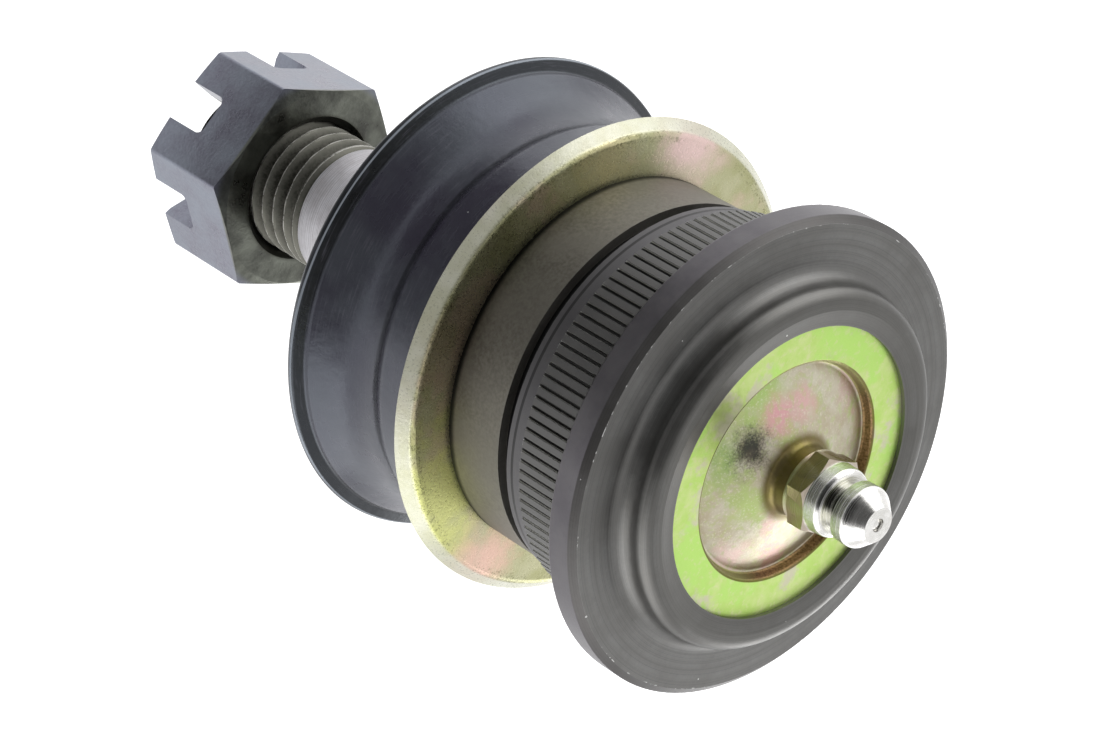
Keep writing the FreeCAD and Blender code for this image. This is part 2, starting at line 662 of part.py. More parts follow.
# Rubber boot: bead under the retainer, bell with a sharp brim, cone, collar on the stud.
boot = new_body("dust_boot")
boot_bore = "(dim.neck_radius + dim.boot_gap)"
bead_top = f"({retainer_face} + dim.retainer_thickness + dim.boot_gap)"
bead_end = f"({bead_top} + dim.bead_length)"
bead_radius = f"({face_radius} - dim.retainer_thickness - dim.bead_clearance)"
band_radius = f"({boot_bore} + dim.band_wall)"
band_end = "(dim.housing_depth + dim.band_length)"
waist_radius = f"({band_radius} - dim.waist_step)"
waist_start = f"({band_end} + dim.waist_drop)"
waist_end = f"({waist_start} + dim.boot_waist_length)"
bell_radius = "(dim.brim_radius - dim.brim_step)"
bell_end = f"({waist_end} + dim.bell_length)"
brim_near = f"({bell_end} + dim.brim_drop)"
brim_far = f"({brim_near} + dim.brim_thickness)"
cone_end = f"({brim_far} + dim.cone_length)"
collar_start = f"({cone_end} + dim.crown_length)"
collar_end = f"({collar_start} + dim.collar_length)"
collar_middle = f"({collar_start} + dim.collar_length / 2)"
collar_bore_drop = f"({collar_start} - dim.taper_start_depth)"
collar_bore = f"({taper_start_radius} - {collar_bore_drop} / dim.taper_ratio / 2 + dim.boot_gap)"
garter_floor = "(dim.collar_radius - dim.garter_groove_depth)"
garter_half = "(dim.garter_wire_radius + dim.garter_side_gap)"
turned(boot, "BootMoulded", [
    (boot_bore, f"-{bead_top}"),
    (bead_radius, f"-{bead_top}"),
    (bead_radius, f"-{bead_end}"),
    (band_radius, f"-{bead_end}"),
    (band_radius, f"-{band_end}"),
    (waist_radius, f"-{waist_start}"),
    (waist_radius, f"-{waist_end}"),
    (bell_radius, f"-{bell_end}"),
    ("dim.brim_radius", f"-{brim_near}"),
    ("dim.brim_radius", f"-{brim_far}"),
    ("dim.cone_radius", f"-{cone_end}"),
    ("dim.collar_radius", f"-{collar_start}"),
    ("dim.collar_radius", f"{garter_half} - {collar_middle}"),
    (garter_floor, f"{garter_half} - {collar_middle}"),
    (garter_floor, f"-({collar_middle} + {garter_half})"),
    ("dim.collar_radius", f"-({collar_middle} + {garter_half})"),
    ("dim.collar_radius", f"-{collar_end}"),
    (collar_bore, f"-{collar_end}"),
    (collar_bore, f"-{collar_start}"),
    ("dim.cone_radius - dim.boot_wall", f"dim.boot_wall - {cone_end}"),
    ("dim.brim_radius - 2 * dim.boot_wall", f"-({brim_near} + dim.brim_thickness / 2)"),
    (f"{bell_radius} - dim.boot_wall", f"-{bell_end}"),
    (f"{waist_radius} - dim.boot_wall", f"-{waist_end}"),
    (f"{waist_radius} - dim.boot_wall", "-(dim.housing_depth + dim.boot_gap)"),
    (boot_bore, "-(dim.housing_depth + dim.boot_gap)"),
])

# Spring-steel garter ring round the boot's collar.
garter = new_body("boot_garter")
garter_ring = garter.newObject("PartDesign::AdditiveTorus", "GarterWire")
garter_ring.AttachmentSupport = (origin_plane(garter, "XY_Plane"), [""])
garter_ring.MapMode = "FlatFace"
garter_ring.setExpression("Radius1", f"{garter_floor} + dim.boot_gap + dim.garter_wire_radius")
garter_ring.setExpression("Radius2", "dim.garter_wire_radius")
garter_ring.setExpression("AttachmentOffset.Base.z", f"-{collar_middle}")
garter.Tip = garter_ring
doc.recompute()


# ---------------------------------------------------------------- grease fitting

fitting = new_body("grease_fitting")
hex_foot = f"({hub_top} + dim.fitting_collar_height)"
hex_top = f"({hex_foot} + dim.fitting_hex_height)"
shoulder_top = f"({hex_top} + dim.shoulder_height)"
neck_top = f"({shoulder_top} + dim.waist_length)"
land_foot = f"({neck_top} + dim.head_undercut)"
land_top = f"({land_foot} + dim.head_land)"
tip = f"({land_top} + dim.head_crown)"
shank_foot = f"({hub_top} - dim.shank_length)"
turned(fitting, "FittingTurned", [
    ("0", shank_foot),
    ("dim.shank_radius", shank_foot),
    ("dim.shank_radius", hub_top),
    ("dim.fitting_collar_radius", hub_top),
    ("dim.fitting_collar_radius", hex_foot),
    ("dim.fitting_across_flats / 2", hex_top),
    ("dim.shoulder_radius", shoulder_top),
    ("dim.waist_radius", shoulder_top),
    ("dim.waist_radius", neck_top),
    ("dim.head_radius", land_foot),
    ("dim.head_radius", land_top),
    ("dim.tip_radius", tip),
    ("0", tip),
])
hub_top_value = recess_foot_height + size("dome_rise") + size("hub_length")
hex_top_value = hub_top_value + size("fitting_collar_height") + size("fitting_hex_height")
shoulder_value = hex_top_value + size("shoulder_height")
land_value = shoulder_value + size("waist_length") + size("head_undercut") + size("head_land")
rounded(fitting, "ShoulderEdge", ring_edges(fitting, [(size("shoulder_radius"), shoulder_value)]),
        "dim.shoulder_round")
rounded(fitting, "CrownEdge", ring_edges(fitting, [(size("head_radius"), land_value)]), "dim.head_round")
fitting_hexagon = hexagon(fitting, "FittingHexagon", "dim.fitting_across_flats", hex_foot,
                          size("fitting_hex_turn"))
padded(fitting, "FittingFlats", fitting_hexagon, "dim.fitting_hex_height")
fitting_corner = "(dim.fitting_across_flats / 2 / cos(30))"
turned_cut(fitting, "FittingFlatsChamfer", [
    (f"{fitting_corner} - 2 * dim.fitting_hex_chamfer", hex_top),
    (fitting_corner, hex_top),
    (fitting_corner, f"{hex_top} - dim.fitting_hex_chamfer"),
])

# Check valve: passage, spring bore, 45 degree seat, mouth.
check_ball_height = f"({tip} - dim.check_ball_sink - dim.check_ball_radius)"
seat_rise = "((dim.check_ball_radius + dim.check_ball_gap) * sqrt(2) - dim.valve_bore_radius)"
valve_seat = f"({check_ball_height} + {seat_rise})"
spring_seat = f"({valve_seat} - dim.valve_bore_length)"
turned_cut(fitting, "FittingValveWay", [
    ("0", shank_foot),
    ("dim.grease_way_radius", shank_foot),
    ("dim.grease_way_radius", spring_seat),
    ("dim.valve_bore_radius", spring_seat),
    ("dim.valve_bore_radius", valve_seat),
    ("dim.tip_hole_radius", f"{valve_seat} + dim.valve_bore_radius - dim.tip_hole_radius"),
    ("dim.tip_hole_radius", tip),
    ("0", tip),
])

check_ball = new_body("fitting_check_ball")
sphere(check_ball, "PartDesign::AdditiveSphere", "CheckBall", "dim.check_ball_radius", check_ball_height)

# The spring's square wire stands clear of its seat and of the ball.
valve_spring = new_body("fitting_spring")
coil_foot = f"({spring_seat} + dim.valve_spring_gap)"
coil_top = f"({check_ball_height} - dim.check_ball_radius - dim.valve_spring_gap)"
wire_inside = "(dim.valve_spring_radius - dim.valve_wire / 2)"
wire = profile(valve_spring, "SpringWire", [
    (wire_inside, coil_foot),
    (f"{wire_inside} + dim.valve_wire", coil_foot),
    (f"{wire_inside} + dim.valve_wire", f"{coil_foot} + dim.valve_wire"),
    (wire_inside, f"{coil_foot} + dim.valve_wire"),
])
coil = valve_spring.newObject("PartDesign::AdditiveHelix", "SpringCoil")
coil.Profile = wire
coil.ReferenceAxis = (wire, ["V_Axis"])
coil.Mode = "height-turns-angle"
coil.setExpression("Height", f"{coil_top} - {coil_foot} - dim.valve_wire")
coil.setExpression("Turns", "dim.valve_spring_turns")
valve_spring.Tip = coil
doc.recompute()


# ---------------------------------------------------------------- check and write

bodies = [housing, cover, stud_bearing, cup, washer, stud, nut, retainer, boot, garter,
          fitting, check_ball, valve_spring]
for item in doc.Objects:
    if "Invalid" in item.State or "Error" in item.State:
        raise RuntimeError(f"{item.Name} failed: {item.State}")
for body in bodies:
    if body.Shape.isNull() or not body.Shape.isValid():
        raise RuntimeError(f"{body.Name} has no valid shape")
    if len(body.Shape.Solids) != 1:
        raise RuntimeError(f"{body.Name} isn't one solid")

os.makedirs(OUTPUT_FOLDER, exist_ok=True)
for body in bodies:
    body.Shape.exportStep(f"{OUTPUT_FOLDER}/{body.Label}.step")
    print(f"{body.Label}: {body.Shape.Volume:.1f} mm3")
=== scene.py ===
import bpy
import math
import numpy as np
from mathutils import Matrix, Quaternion, Vector


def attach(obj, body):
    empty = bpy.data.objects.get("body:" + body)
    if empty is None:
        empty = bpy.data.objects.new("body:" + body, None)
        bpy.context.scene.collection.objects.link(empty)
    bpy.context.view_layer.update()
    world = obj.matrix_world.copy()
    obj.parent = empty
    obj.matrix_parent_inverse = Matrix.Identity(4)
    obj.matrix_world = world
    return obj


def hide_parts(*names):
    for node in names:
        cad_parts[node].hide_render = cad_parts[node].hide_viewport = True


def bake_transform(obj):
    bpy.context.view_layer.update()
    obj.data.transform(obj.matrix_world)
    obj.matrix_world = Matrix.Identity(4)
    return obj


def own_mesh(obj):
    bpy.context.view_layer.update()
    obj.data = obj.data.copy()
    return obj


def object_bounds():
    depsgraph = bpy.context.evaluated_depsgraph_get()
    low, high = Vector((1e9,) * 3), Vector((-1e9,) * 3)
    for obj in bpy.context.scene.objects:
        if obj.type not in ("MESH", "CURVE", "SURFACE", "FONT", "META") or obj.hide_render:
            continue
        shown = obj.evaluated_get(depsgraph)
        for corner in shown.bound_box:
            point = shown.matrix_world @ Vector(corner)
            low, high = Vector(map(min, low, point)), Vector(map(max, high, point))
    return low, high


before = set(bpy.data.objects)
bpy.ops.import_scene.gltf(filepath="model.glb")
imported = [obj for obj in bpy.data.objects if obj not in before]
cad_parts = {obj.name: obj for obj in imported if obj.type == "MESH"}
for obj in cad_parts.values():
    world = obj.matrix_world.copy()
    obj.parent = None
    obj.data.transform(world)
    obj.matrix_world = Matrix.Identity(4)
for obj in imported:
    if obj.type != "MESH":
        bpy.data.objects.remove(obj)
cad_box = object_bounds()

# One millimetre, in metres.
MM = 0.001


# ---------------------------------------------------------------- camera
# A long lens looks down on the cover and along the housing, and is rolled so that the stud
# points up to the left.
camera_place = Vector((0.03368, -0.29972, 0.22714))
camera_aim = Vector((0.00461, -0.01348, -0.01639))
camera_roll = math.radians(121.08)

camera = bpy.data.objects.new("camera", bpy.data.cameras.new("camera"))
camera.data.sensor_width = 36.0
camera.data.lens = 119.66
camera.data.clip_start = 0.01
camera.data.clip_end = 20.0
camera.rotation_mode = "QUATERNION"
camera.location = camera_place
upright = (camera_place - camera_aim).to_track_quat("Z", "Y")
camera.rotation_quaternion = upright @ Quaternion((0.0, 0.0, 1.0), camera_roll)
bpy.context.collection.objects.link(camera)
bpy.context.scene.camera = camera
bpy.context.view_layer.update()
camera_right = camera.matrix_world.col[0].to_3d()
camera_up = camera.matrix_world.col[1].to_3d()
camera_back = camera.matrix_world.col[2].to_3d()


# ---------------------------------------------------------------- studio
# A white floor and surroundings, soft boxes on three sides, and two dark cards, one behind the
# camera and one on the floor in front, that give the metal something dark to reflect.


def shader_node(tree, kind, inputs=None, **settings):
    """Add a shader node; each input is a plain value or another node's output."""
    made = tree.nodes.new(kind)
    for name, value in settings.items():
        setattr(made, name, value)
    for key, value in (inputs or {}).items():
        if isinstance(value, bpy.types.NodeSocket):
            tree.links.new(value, made.inputs[key])
        else:
            made.inputs[key].default_value = value
    return made


def maths(tree, operation, first, second=0.0, clamp=False):
    """The output of one Math node."""
    inputs = {0: first, 1: second}
    made = shader_node(tree, "ShaderNodeMath", inputs, operation=operation, use_clamp=clamp)
    return made.outputs[0]


def product(tree, first, second):
    """First times second."""
    return maths(tree, "MULTIPLY", first, second)


def added(tree, first, second):
    """First plus second."""
    return maths(tree, "ADD", first, second)


def ease(tree, value, low, high):
    """0 below low, 1 above high, and a smooth step between; low may be the larger."""
    inputs = {"Value": value, "From Min": low, "From Max": high}
    made = shader_node(tree, "ShaderNodeMapRange", inputs, interpolation_type="SMOOTHSTEP")
    return made.outputs["Result"]


def colour(red, green, blue):
    """An opaque colour for a socket."""
    return (red, green, blue, 1.0)


def mixed(tree, factor, first, second):
    """The output of a colour Mix node: first where factor is 0, second where it is 1."""
    inputs = {0: factor, 6: first, 7: second}
    made = shader_node(tree, "ShaderNodeMix", inputs, data_type="RGBA")
    return made.outputs[2]


def seen_ray(tree):
    """1 for rays from the camera, reflections and see-through rays, 0 for all others."""
    path = shader_node(tree, "ShaderNodeLightPath").outputs
    total = path["Is Camera Ray"]
    for kind in ("Is Glossy Ray", "Is Transmission Ray"):
        total = maths(tree, "ADD", total, path[kind], clamp=True)
    return total


world = bpy.data.worlds.new("studio")
bpy.context.scene.world = world
world.use_nodes = True
world.node_tree.nodes.clear()
world_seen = seen_ray(world.node_tree)
# Seen directly or reflected the surroundings are white; the light they give is dimmer.
sky_grey = colour(0.38, 0.38, 0.39)
white = colour(1.0, 1.0, 1.0)
world_colour = mixed(world.node_tree, world_seen, sky_grey, white)
world_light = shader_node(world.node_tree, "ShaderNodeBackground", {
    "Color": world_colour,
    "Strength": 1.0,
})
shader_node(world.node_tree, "ShaderNodeOutputWorld", {"Surface": world_light.outputs[0]})


def flat_sheet(name, centre, across, along, material):
    """A rectangle round a centre, spanned by two half-side vectors."""
    corners = [centre - across - along, centre + across - along,
               centre + across + along, centre - across + along]
    mesh = bpy.data.meshes.new(name)
    mesh.from_pydata([tuple(corner) for corner in corners], [], [(0, 1, 2, 3)])
    mesh.materials.append(material)
    made = bpy.data.objects.new(name, mesh)
    bpy.context.collection.objects.link(made)
    return made


floor_glow_strength = 0.85
floor_paint = bpy.data.materials.new("floor_paint")
floor_paint.use_nodes = True
floor_tree = floor_paint.node_tree
floor_tree.nodes.clear()
floor_seen = seen_ray(floor_tree)
floor_glow = product(floor_tree, floor_seen, floor_glow_strength)
floor_shader = shader_node(floor_tree, "ShaderNodeBsdfPrincipled", {
    "Base Color": colour(0.82, 0.82, 0.82),
    "Roughness": 0.9,
    "Specular IOR Level": 0.1,
    "Emission Color": white,
    "Emission Strength": floor_glow,
})
shader_node(floor_tree, "ShaderNodeOutputMaterial", {"Surface": floor_shader.outputs[0]})
# The floor lies low enough for the nut to run down the stud above it.
floor_drop = 14.0 * MM
floor_height = cad_box[0].z - floor_drop
floor_reach = 2.5
flat_sheet("floor", Vector((0.0, 0.0, floor_height)), Vector((floor_reach, 0.0, 0.0)),
           Vector((0.0, floor_reach, 0.0)), floor_paint)


def dark_card(name, centre, facing, solid_radius, clear_radius, shade):
    """A round card that only reflections show: solid in the middle, fading to clear outwards."""
    turn = facing.to_track_quat("Z", "Y")
    paint = bpy.data.materials.new(name)
    paint.use_nodes = True
    tree = paint.node_tree
    tree.nodes.clear()
    point = shader_node(tree, "ShaderNodeTexCoord").outputs["Object"]
    offset = shader_node(tree, "ShaderNodeVectorMath", {0: point, 1: centre}, operation="DISTANCE")
    cover = ease(tree, offset.outputs["Value"], clear_radius, solid_radius)
    clear = shader_node(tree, "ShaderNodeBsdfTransparent")
    grey = colour(shade, shade, shade)
    solid = shader_node(tree, "ShaderNodeEmission", {"Color": grey, "Strength": 1.0})
    shaders = {0: cover, 1: clear.outputs[0], 2: solid.outputs[0]}
    both = shader_node(tree, "ShaderNodeMixShader", shaders)
    shader_node(tree, "ShaderNodeOutputMaterial", {"Surface": both.outputs[0]})
    across = turn @ Vector((clear_radius, 0.0, 0.0))
    along = turn @ Vector((0.0, clear_radius, 0.0))
    card = flat_sheet(name, centre, across, along, paint)
    card.visible_camera = False
    card.visible_diffuse = False
    card.visible_transmission = False
    card.visible_shadow = False


box_distance = 0.5


def soft_box(name, direction, width, power):
    """A square area lamp that points at the part from a direction."""
    data = bpy.data.lights.new(name, "AREA")
    data.size = width
    data.energy = power
    lamp = bpy.data.objects.new(name, data)
    aim = direction.normalized()
    lamp.location = aim * box_distance + camera_aim
    lamp.rotation_mode = "QUATERNION"
    lamp.rotation_quaternion = aim.to_track_quat("Z", "Y")
    bpy.context.collection.objects.link(lamp)


# The front card stands towards the camera, a little left of it and above it.
front = camera_back - camera_right * 0.20 + camera_up * 0.15
front_distance = 0.30
dark_card("card_front", front.normalized() * front_distance, front,
          solid_radius=0.27, clear_radius=0.60, shade=0.10)
floor_card_place = Vector((-0.008, -0.123, floor_height + 1.0 * MM))
dark_card("card_floor", floor_card_place, Vector((0.0, 0.0, 1.0)),
          solid_radius=0.080, clear_radius=0.110, shade=0.12)
soft_box("box_left", Vector((-0.90, -0.10, 0.25)), width=0.50, power=1.7)
soft_box("box_right", Vector((0.87, 0.13, 0.20)), width=0.50, power=1.6)
soft_box("box_back", Vector((0.10, 0.95, 0.15)), width=0.25, power=0.6)


# ---------------------------------------------------------------- housing
# Forged steel, turned all over and phosphated dark grey: flange, serrated press-fit band,
# retaining ring groove and neck.  The lip is crimped over the cover after assembly.


def node_group(name, inputs, outputs):
    """An empty shader group with float or vector sockets, and the outputs of its entry."""
    group = bpy.data.node_groups.new(name, "ShaderNodeTree")
    for label, kind in inputs:
        group.interface.new_socket(name=label, in_out="INPUT", socket_type="NodeSocket" + kind)
    for label, kind in outputs:
        group.interface.new_socket(name=label, in_out="OUTPUT", socket_type="NodeSocket" + kind)
    entry = group.nodes.new("NodeGroupInput").outputs
    return group, entry


def place_group(tree, group, inputs=None):
    """A group placed in a material; returns its outputs."""
    return shader_node(tree, "ShaderNodeGroup", inputs, node_tree=group).outputs


# Where a point lies on a turned part, in millimetres: its radius, its height, its turn in
# radians, and how far it is along the profile from the middle of the top outwards.
turned_place = node_group("turned_place", [], [
    ("Point", "Vector"),
    ("Radius", "Float"),
    ("Height", "Float"),
    ("Turn", "Float"),
    ("Along", "Float"),
])[0]
metres = shader_node(turned_place, "ShaderNodeTexCoord").outputs["Object"]
millimetres = shader_node(turned_place, "ShaderNodeVectorMath", {0: metres, "Scale": 1.0 / MM},
                          operation="SCALE")
parts = shader_node(turned_place, "ShaderNodeSeparateXYZ", {0: millimetres.outputs[0]}).outputs
squares = added(turned_place, maths(turned_place, "POWER", parts[0], 2.0),
                maths(turned_place, "POWER", parts[1], 2.0))
place_radius = maths(turned_place, "SQRT", squares)
place_turn = maths(turned_place, "ARCTAN2", parts[1], parts[0])
shader_node(turned_place, "NodeGroupOutput", {
    "Point": millimetres.outputs[0],
    "Radius": place_radius,
    "Height": parts[2],
    "Turn": place_turn,
    "Along": maths(turned_place, "SUBTRACT", place_radius, parts[2]),
})

# Marks that a lathe tool leaves: fine rings and slower waves along the profile.
tool_marks, entry = node_group("tool_marks", [("Along", "Float"), ("Pitch", "Float")],
                               [("Fine", "Float"), ("Wave", "Float")])


def rings(tree, place):
    """Noise along one line."""
    inputs = {"W": place, "Scale": 1.0, "Detail": 2.0}
    return shader_node(tree, "ShaderNodeTexNoise", inputs, noise_dimensions="1D").outputs[0]


wave_share = 0.13
step = maths(tool_marks, "DIVIDE", entry["Along"], entry["Pitch"])
shader_node(tool_marks, "NodeGroupOutput", {
    "Fine": rings(tool_marks, step),
    "Wave": rings(tool_marks, product(tool_marks, step, wave_share)),
})

# Blotches of one size in millimetres, from 0 to 1.
blotches, entry = node_group("blotches", [("Point", "Vector"), ("Size", "Float"), ("Seed", "Float")],
                             [("Value", "Float")])
blotch_scale = maths(blotches, "DIVIDE", 1.0, entry["Size"])
blotch_noise = shader_node(blotches, "ShaderNodeTexNoise", {
    "Vector": entry["Point"],
    "W": entry["Seed"],
    "Scale": blotch_scale,
    "Detail": 4.0,
    "Roughness": 0.6,
}, noise_dimensions="4D")
shader_node(blotches, "NodeGroupOutput", {"Value": ease(blotches, blotch_noise.outputs[0], 0.3, 0.7)})

# Sparse round specks, as of dust: the share of cells that hold one, and its size in millimetres.
specks, entry = node_group("specks", [
    ("Point", "Vector"),
    ("Cell", "Float"),
    ("Share", "Float"),
    ("Size", "Float"),
], [("Mask", "Float")])
speck_scale = maths(specks, "DIVIDE", 1.0, entry["Cell"])
speck_cells = shader_node(specks, "ShaderNodeTexVoronoi", {
    "Vector": entry["Point"],
    "Scale": speck_scale,
})
speck_pick = shader_node(specks, "ShaderNodeSeparateColor", {0: speck_cells.outputs["Color"]}).outputs
speck_reach = product(specks, speck_cells.outputs["Distance"], entry["Cell"])
speck_size = product(specks, entry["Size"], speck_pick[1])
speck_here = maths(specks, "LESS_THAN", speck_reach, speck_size)
speck_kept = maths(specks, "LESS_THAN", speck_pick[0], entry["Share"])
shader_node(specks, "NodeGroupOutput", {"Mask": product(specks, speck_here, speck_kept)})


def blotch(tree, place, size, seed):
    """Blotches placed in a material; each seed gives another pattern."""
    return place_group(tree, blotches, {"Point": place["Point"], "Size": size, "Seed": seed})["Value"]


def dust_specks(tree, place, cell, share, size):
    """Specks placed in a material."""
    inputs = {"Point": place["Point"], "Cell": cell, "Share": share, "Size": size}
    return place_group(tree, specks, inputs)["Mask"]


def new_finish(name):
    """An empty material and its turned coordinates."""
    finish = bpy.data.materials.new(name)
    finish.use_nodes = True
    finish.node_tree.nodes.clear()
    return finish, finish.node_tree, place_group(finish.node_tree, turned_place)


def surface(tree, inputs, bump_height, bump_distance, bump_strength=1.0):
    """The Principled shader of a finish, with its bump in millimetres."""
    bump = shader_node(tree, "ShaderNodeBump", {
        "Height": bump_height,
        "Distance": bump_distance * MM,
        "Strength": bump_strength,
    })
    inputs = dict(inputs, Normal=bump.outputs[0])
    shader = shader_node(tree, "ShaderNodeBsdfPrincipled", inputs)
    shader_node(tree, "ShaderNodeOutputMaterial", {"Surface": shader.outputs[0]})


def band(tree, value, low, high, soft):
    """1 where value lies between low and high, falling to 0 over a soft edge outside them."""
    rise = ease(tree, value, low - soft, low)
    fall = ease(tree, value, high + soft, high)
    return product(tree, rise, fall)


def dress(node_name, finish):
    """Give a CAD node its finish."""
    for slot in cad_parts[node_name].material_slots:
        slot.material = finish


# Heights at which the housing's finish changes, from the boss down to the neck's foot, in
# millimetres.
boss_top = 4.4
rim_corner_height = 3.5
rim_top = 3.1
side_top = -0.02
band_top = -0.05
tooth_end_top = -9.75
tooth_end_foot = -10.1
band_foot = -10.15
pilot_top = -10.25
pilot_line_top = -11.45
pilot_line_foot = -11.75
pilot_foot = -12.40
groove_top = -12.45
groove_foot = -14.15
neck_top = -14.4
neck_foot = -21.0
# Radii at which it changes, from the boss out to the flange's rim, in millimetres.
boss_inner = 16.8
boss_outer = 20.2
groove_mouth = 21.2
tooth_root = 21.8
tooth_flank = 22.0
tooth_tip = 22.12
tooth_crest = 22.22
rim_inner = 26.0
rim_corner_inner = 26.03
rim_corner_outer = 26.09
chamfer_outer = 26.16

phosphate, tree, place = new_finish("phosphate")
marks = place_group(tree, tool_marks, {"Along": place["Along"], "Pitch": 0.10})
cloud = blotch(tree, place, size=5.0, seed=1.0)
grain = blotch(tree, place, size=0.35, seed=2.0)
streak = product(tree, marks["Wave"], cloud)
shade = mixed(tree, streak, colour(0.136, 0.133, 0.126), colour(0.22, 0.22, 0.215))
shade = mixed(tree, product(tree, grain, 0.25), shade, colour(0.12, 0.12, 0.12))
ring_lines = product(tree, ease(tree, marks["Fine"], 0.48, 0.36), 0.35)
shade = mixed(tree, ring_lines, shade, colour(0.07, 0.07, 0.07))
on_boss = product(tree, band(tree, place["Radius"], boss_inner, boss_outer, 0.8),
                  ease(tree, place["Height"], boss_top - 0.7, boss_top))
shade = mixed(tree, product(tree, on_boss, 0.30), shade, colour(0.075, 0.072, 0.064))
on_neck = ease(tree, place["Height"], neck_top + 0.5, neck_top)
neck_shade = mixed(tree, cloud, colour(0.125, 0.117, 0.098), colour(0.165, 0.157, 0.135))
shade = mixed(tree, on_neck, shade, mixed(tree, grain, neck_shade, colour(0.185, 0.175, 0.15)))
# Painted shadow: the neck turns near black at its foot, where it meets the retainer.
neck_contact_shadow = ease(tree, place["Height"], neck_foot, neck_foot - 0.8)
shade = mixed(tree, neck_contact_shadow, shade, colour(0.006, 0.006, 0.006))
# Painted shade: the ring groove is near black inside its mouth.
groove_painted_shade = product(tree, band(tree, place["Height"], groove_foot, groove_top, 0.05),
                    ease(tree, place["Radius"], groove_mouth, groove_mouth - 0.6))
shade = mixed(tree, groove_painted_shade, shade, colour(0.02, 0.02, 0.02))
on_band = band(tree, place["Height"], band_foot, band_top, 0.03)
on_side = band(tree, place["Height"], pilot_foot, side_top, 0.02)
side_shade = mixed(tree, cloud, colour(0.15, 0.15, 0.145), colour(0.21, 0.21, 0.20))
shade = mixed(tree, on_side, shade, side_shade)
shade = mixed(tree, product(tree, on_band, 0.6), shade, colour(0.085, 0.082, 0.082))
# Painted shade: the serration teeth darken towards their roots.
serration_root_shade = product(tree, on_band, ease(tree, place["Radius"], tooth_flank, tooth_root))
shade = mixed(tree, serration_root_shade, shade, colour(0.06, 0.06, 0.057))
# Painted highlight: a thin light line runs along each tooth's tip.
tooth_edge_highlight = product(tree, on_band, band(tree, place["Radius"], tooth_tip, tooth_crest, 0.05))
shade = mixed(tree, product(tree, tooth_edge_highlight, 0.9), shade, colour(0.55, 0.55, 0.52))
on_pilot = band(tree, place["Height"], pilot_foot, pilot_top, 0.05)
shade = mixed(tree, product(tree, on_pilot, 0.65), shade, colour(0.075, 0.070, 0.080))
pilot_line = band(tree, place["Height"], pilot_line_foot, pilot_line_top, 0.06)
shade = mixed(tree, product(tree, pilot_line, 0.7), shade, colour(0.02, 0.02, 0.02))
on_rim = product(tree, ease(tree, place["Radius"], rim_inner, rim_inner + 0.3),
                 ease(tree, place["Height"], rim_top, rim_top - 0.2))
rim_shade = mixed(tree, cloud, colour(0.088, 0.082, 0.090), colour(0.128, 0.122, 0.128))
shade = mixed(tree, on_rim, shade, rim_shade)
# Painted reflection: the flange rim's chamfer is darkened all the way round.
chamfer_dark_reflection = product(tree, ease(tree, place["Radius"], chamfer_outer - 0.08, chamfer_outer),
                     ease(tree, place["Height"], rim_top - 0.14, rim_top - 0.08))
shade = mixed(tree, product(tree, chamfer_dark_reflection, 0.6), shade, colour(0.055, 0.05, 0.05))
rim_edge = product(tree, band(tree, place["Radius"], rim_corner_inner, rim_corner_outer, 0.04),
                   ease(tree, place["Height"], rim_corner_height - 0.1, rim_corner_height))
bruise = blotch(tree, place, size=0.7, seed=5.0)
scrape = blotch(tree, place, size=9.0, seed=6.0)
rim_wear = product(tree, ease(tree, bruise, 0.62, 0.9), ease(tree, scrape, 0.5, 0.8))
rim_wear = product(tree, rim_edge, rim_wear)
tooth_end = product(tree, band(tree, place["Height"], tooth_end_foot, tooth_end_top, 0.1),
                    ease(tree, place["Radius"], tooth_flank, tooth_flank + 0.1))
tooth_wear = product(tree, tooth_end, ease(tree, bruise, 0.6, 0.9))
rim_wear = maths(tree, "MAXIMUM", rim_wear, tooth_wear)
dust = dust_specks(tree, place, cell=1.7, share=0.14, size=0.13)
pale = maths(tree, "MAXIMUM", rim_wear, dust)
shade = mixed(tree, pale, shade, colour(0.75, 0.75, 0.73))
rough = added(tree, product(tree, cloud, 0.10), product(tree, marks["Fine"], 0.12))
rough = added(tree, rough, product(tree, on_neck, 0.14))
rough = added(tree, rough, product(tree, on_side, 0.10))
relief = added(tree, marks["Fine"], product(tree, grain, 0.6))
surface(tree, {
    "Base Color": shade,
    "Metallic": maths(tree, "SUBTRACT", 0.85, product(tree, pale, 0.8)),
    "Roughness": added(tree, rough, 0.31),
}, relief, bump_distance=0.006)
dress("housing", phosphate)


# ---------------------------------------------------------------- cover plate
# Pressed sheet steel, zinc plated and passivated yellow-green: the film shows as patches of
# green, straw and pink.  The housing's lip holds it down, and a dark reflection is painted by the
# hub.
hub_radius = 4.3
recess_wall_inner = 11.85
recess_wall_outer = 12.25
recess_wall_top = 6.42
recess_shade_inner = 12.20
recess_shade_outer = 12.42
recess_shade_height = 6.25

passivated_green, tree, place = new_finish("passivated_green")
cloud = blotch(tree, place, size=4.0, seed=11.0)
patch = blotch(tree, place, size=2.2, seed=12.0)
blush = blotch(tree, place, size=5.5, seed=13.0)
grain = blotch(tree, place, size=0.25, seed=14.0)
rim_shade = mixed(tree, patch, colour(0.47, 0.69, 0.15), colour(0.60, 0.72, 0.28))
rim_shade = mixed(tree, ease(tree, cloud, 0.65, 1.0), rim_shade, colour(0.60, 0.58, 0.42))
rim_shade = mixed(tree, ease(tree, blush, 0.45, 0.1), rim_shade, colour(0.48, 0.74, 0.17))
fleck = blotch(tree, place, size=0.8, seed=16.0)
rim_shade = mixed(tree, product(tree, ease(tree, fleck, 0.6, 1.0), 0.4), rim_shade,
                  colour(0.68, 0.68, 0.40))


def stain(tree, place, ragged, centre, reach, amount):
    """A soft patch round a point in millimetres, its edge broken up by blotches."""
    offset = shader_node(tree, "ShaderNodeVectorMath", {0: place["Point"], 1: centre},
                         operation="DISTANCE")
    edge = added(tree, offset.outputs["Value"], product(tree, ragged, 0.5 * reach))
    return product(tree, ease(tree, edge, 1.35 * reach, 0.35 * reach), amount)


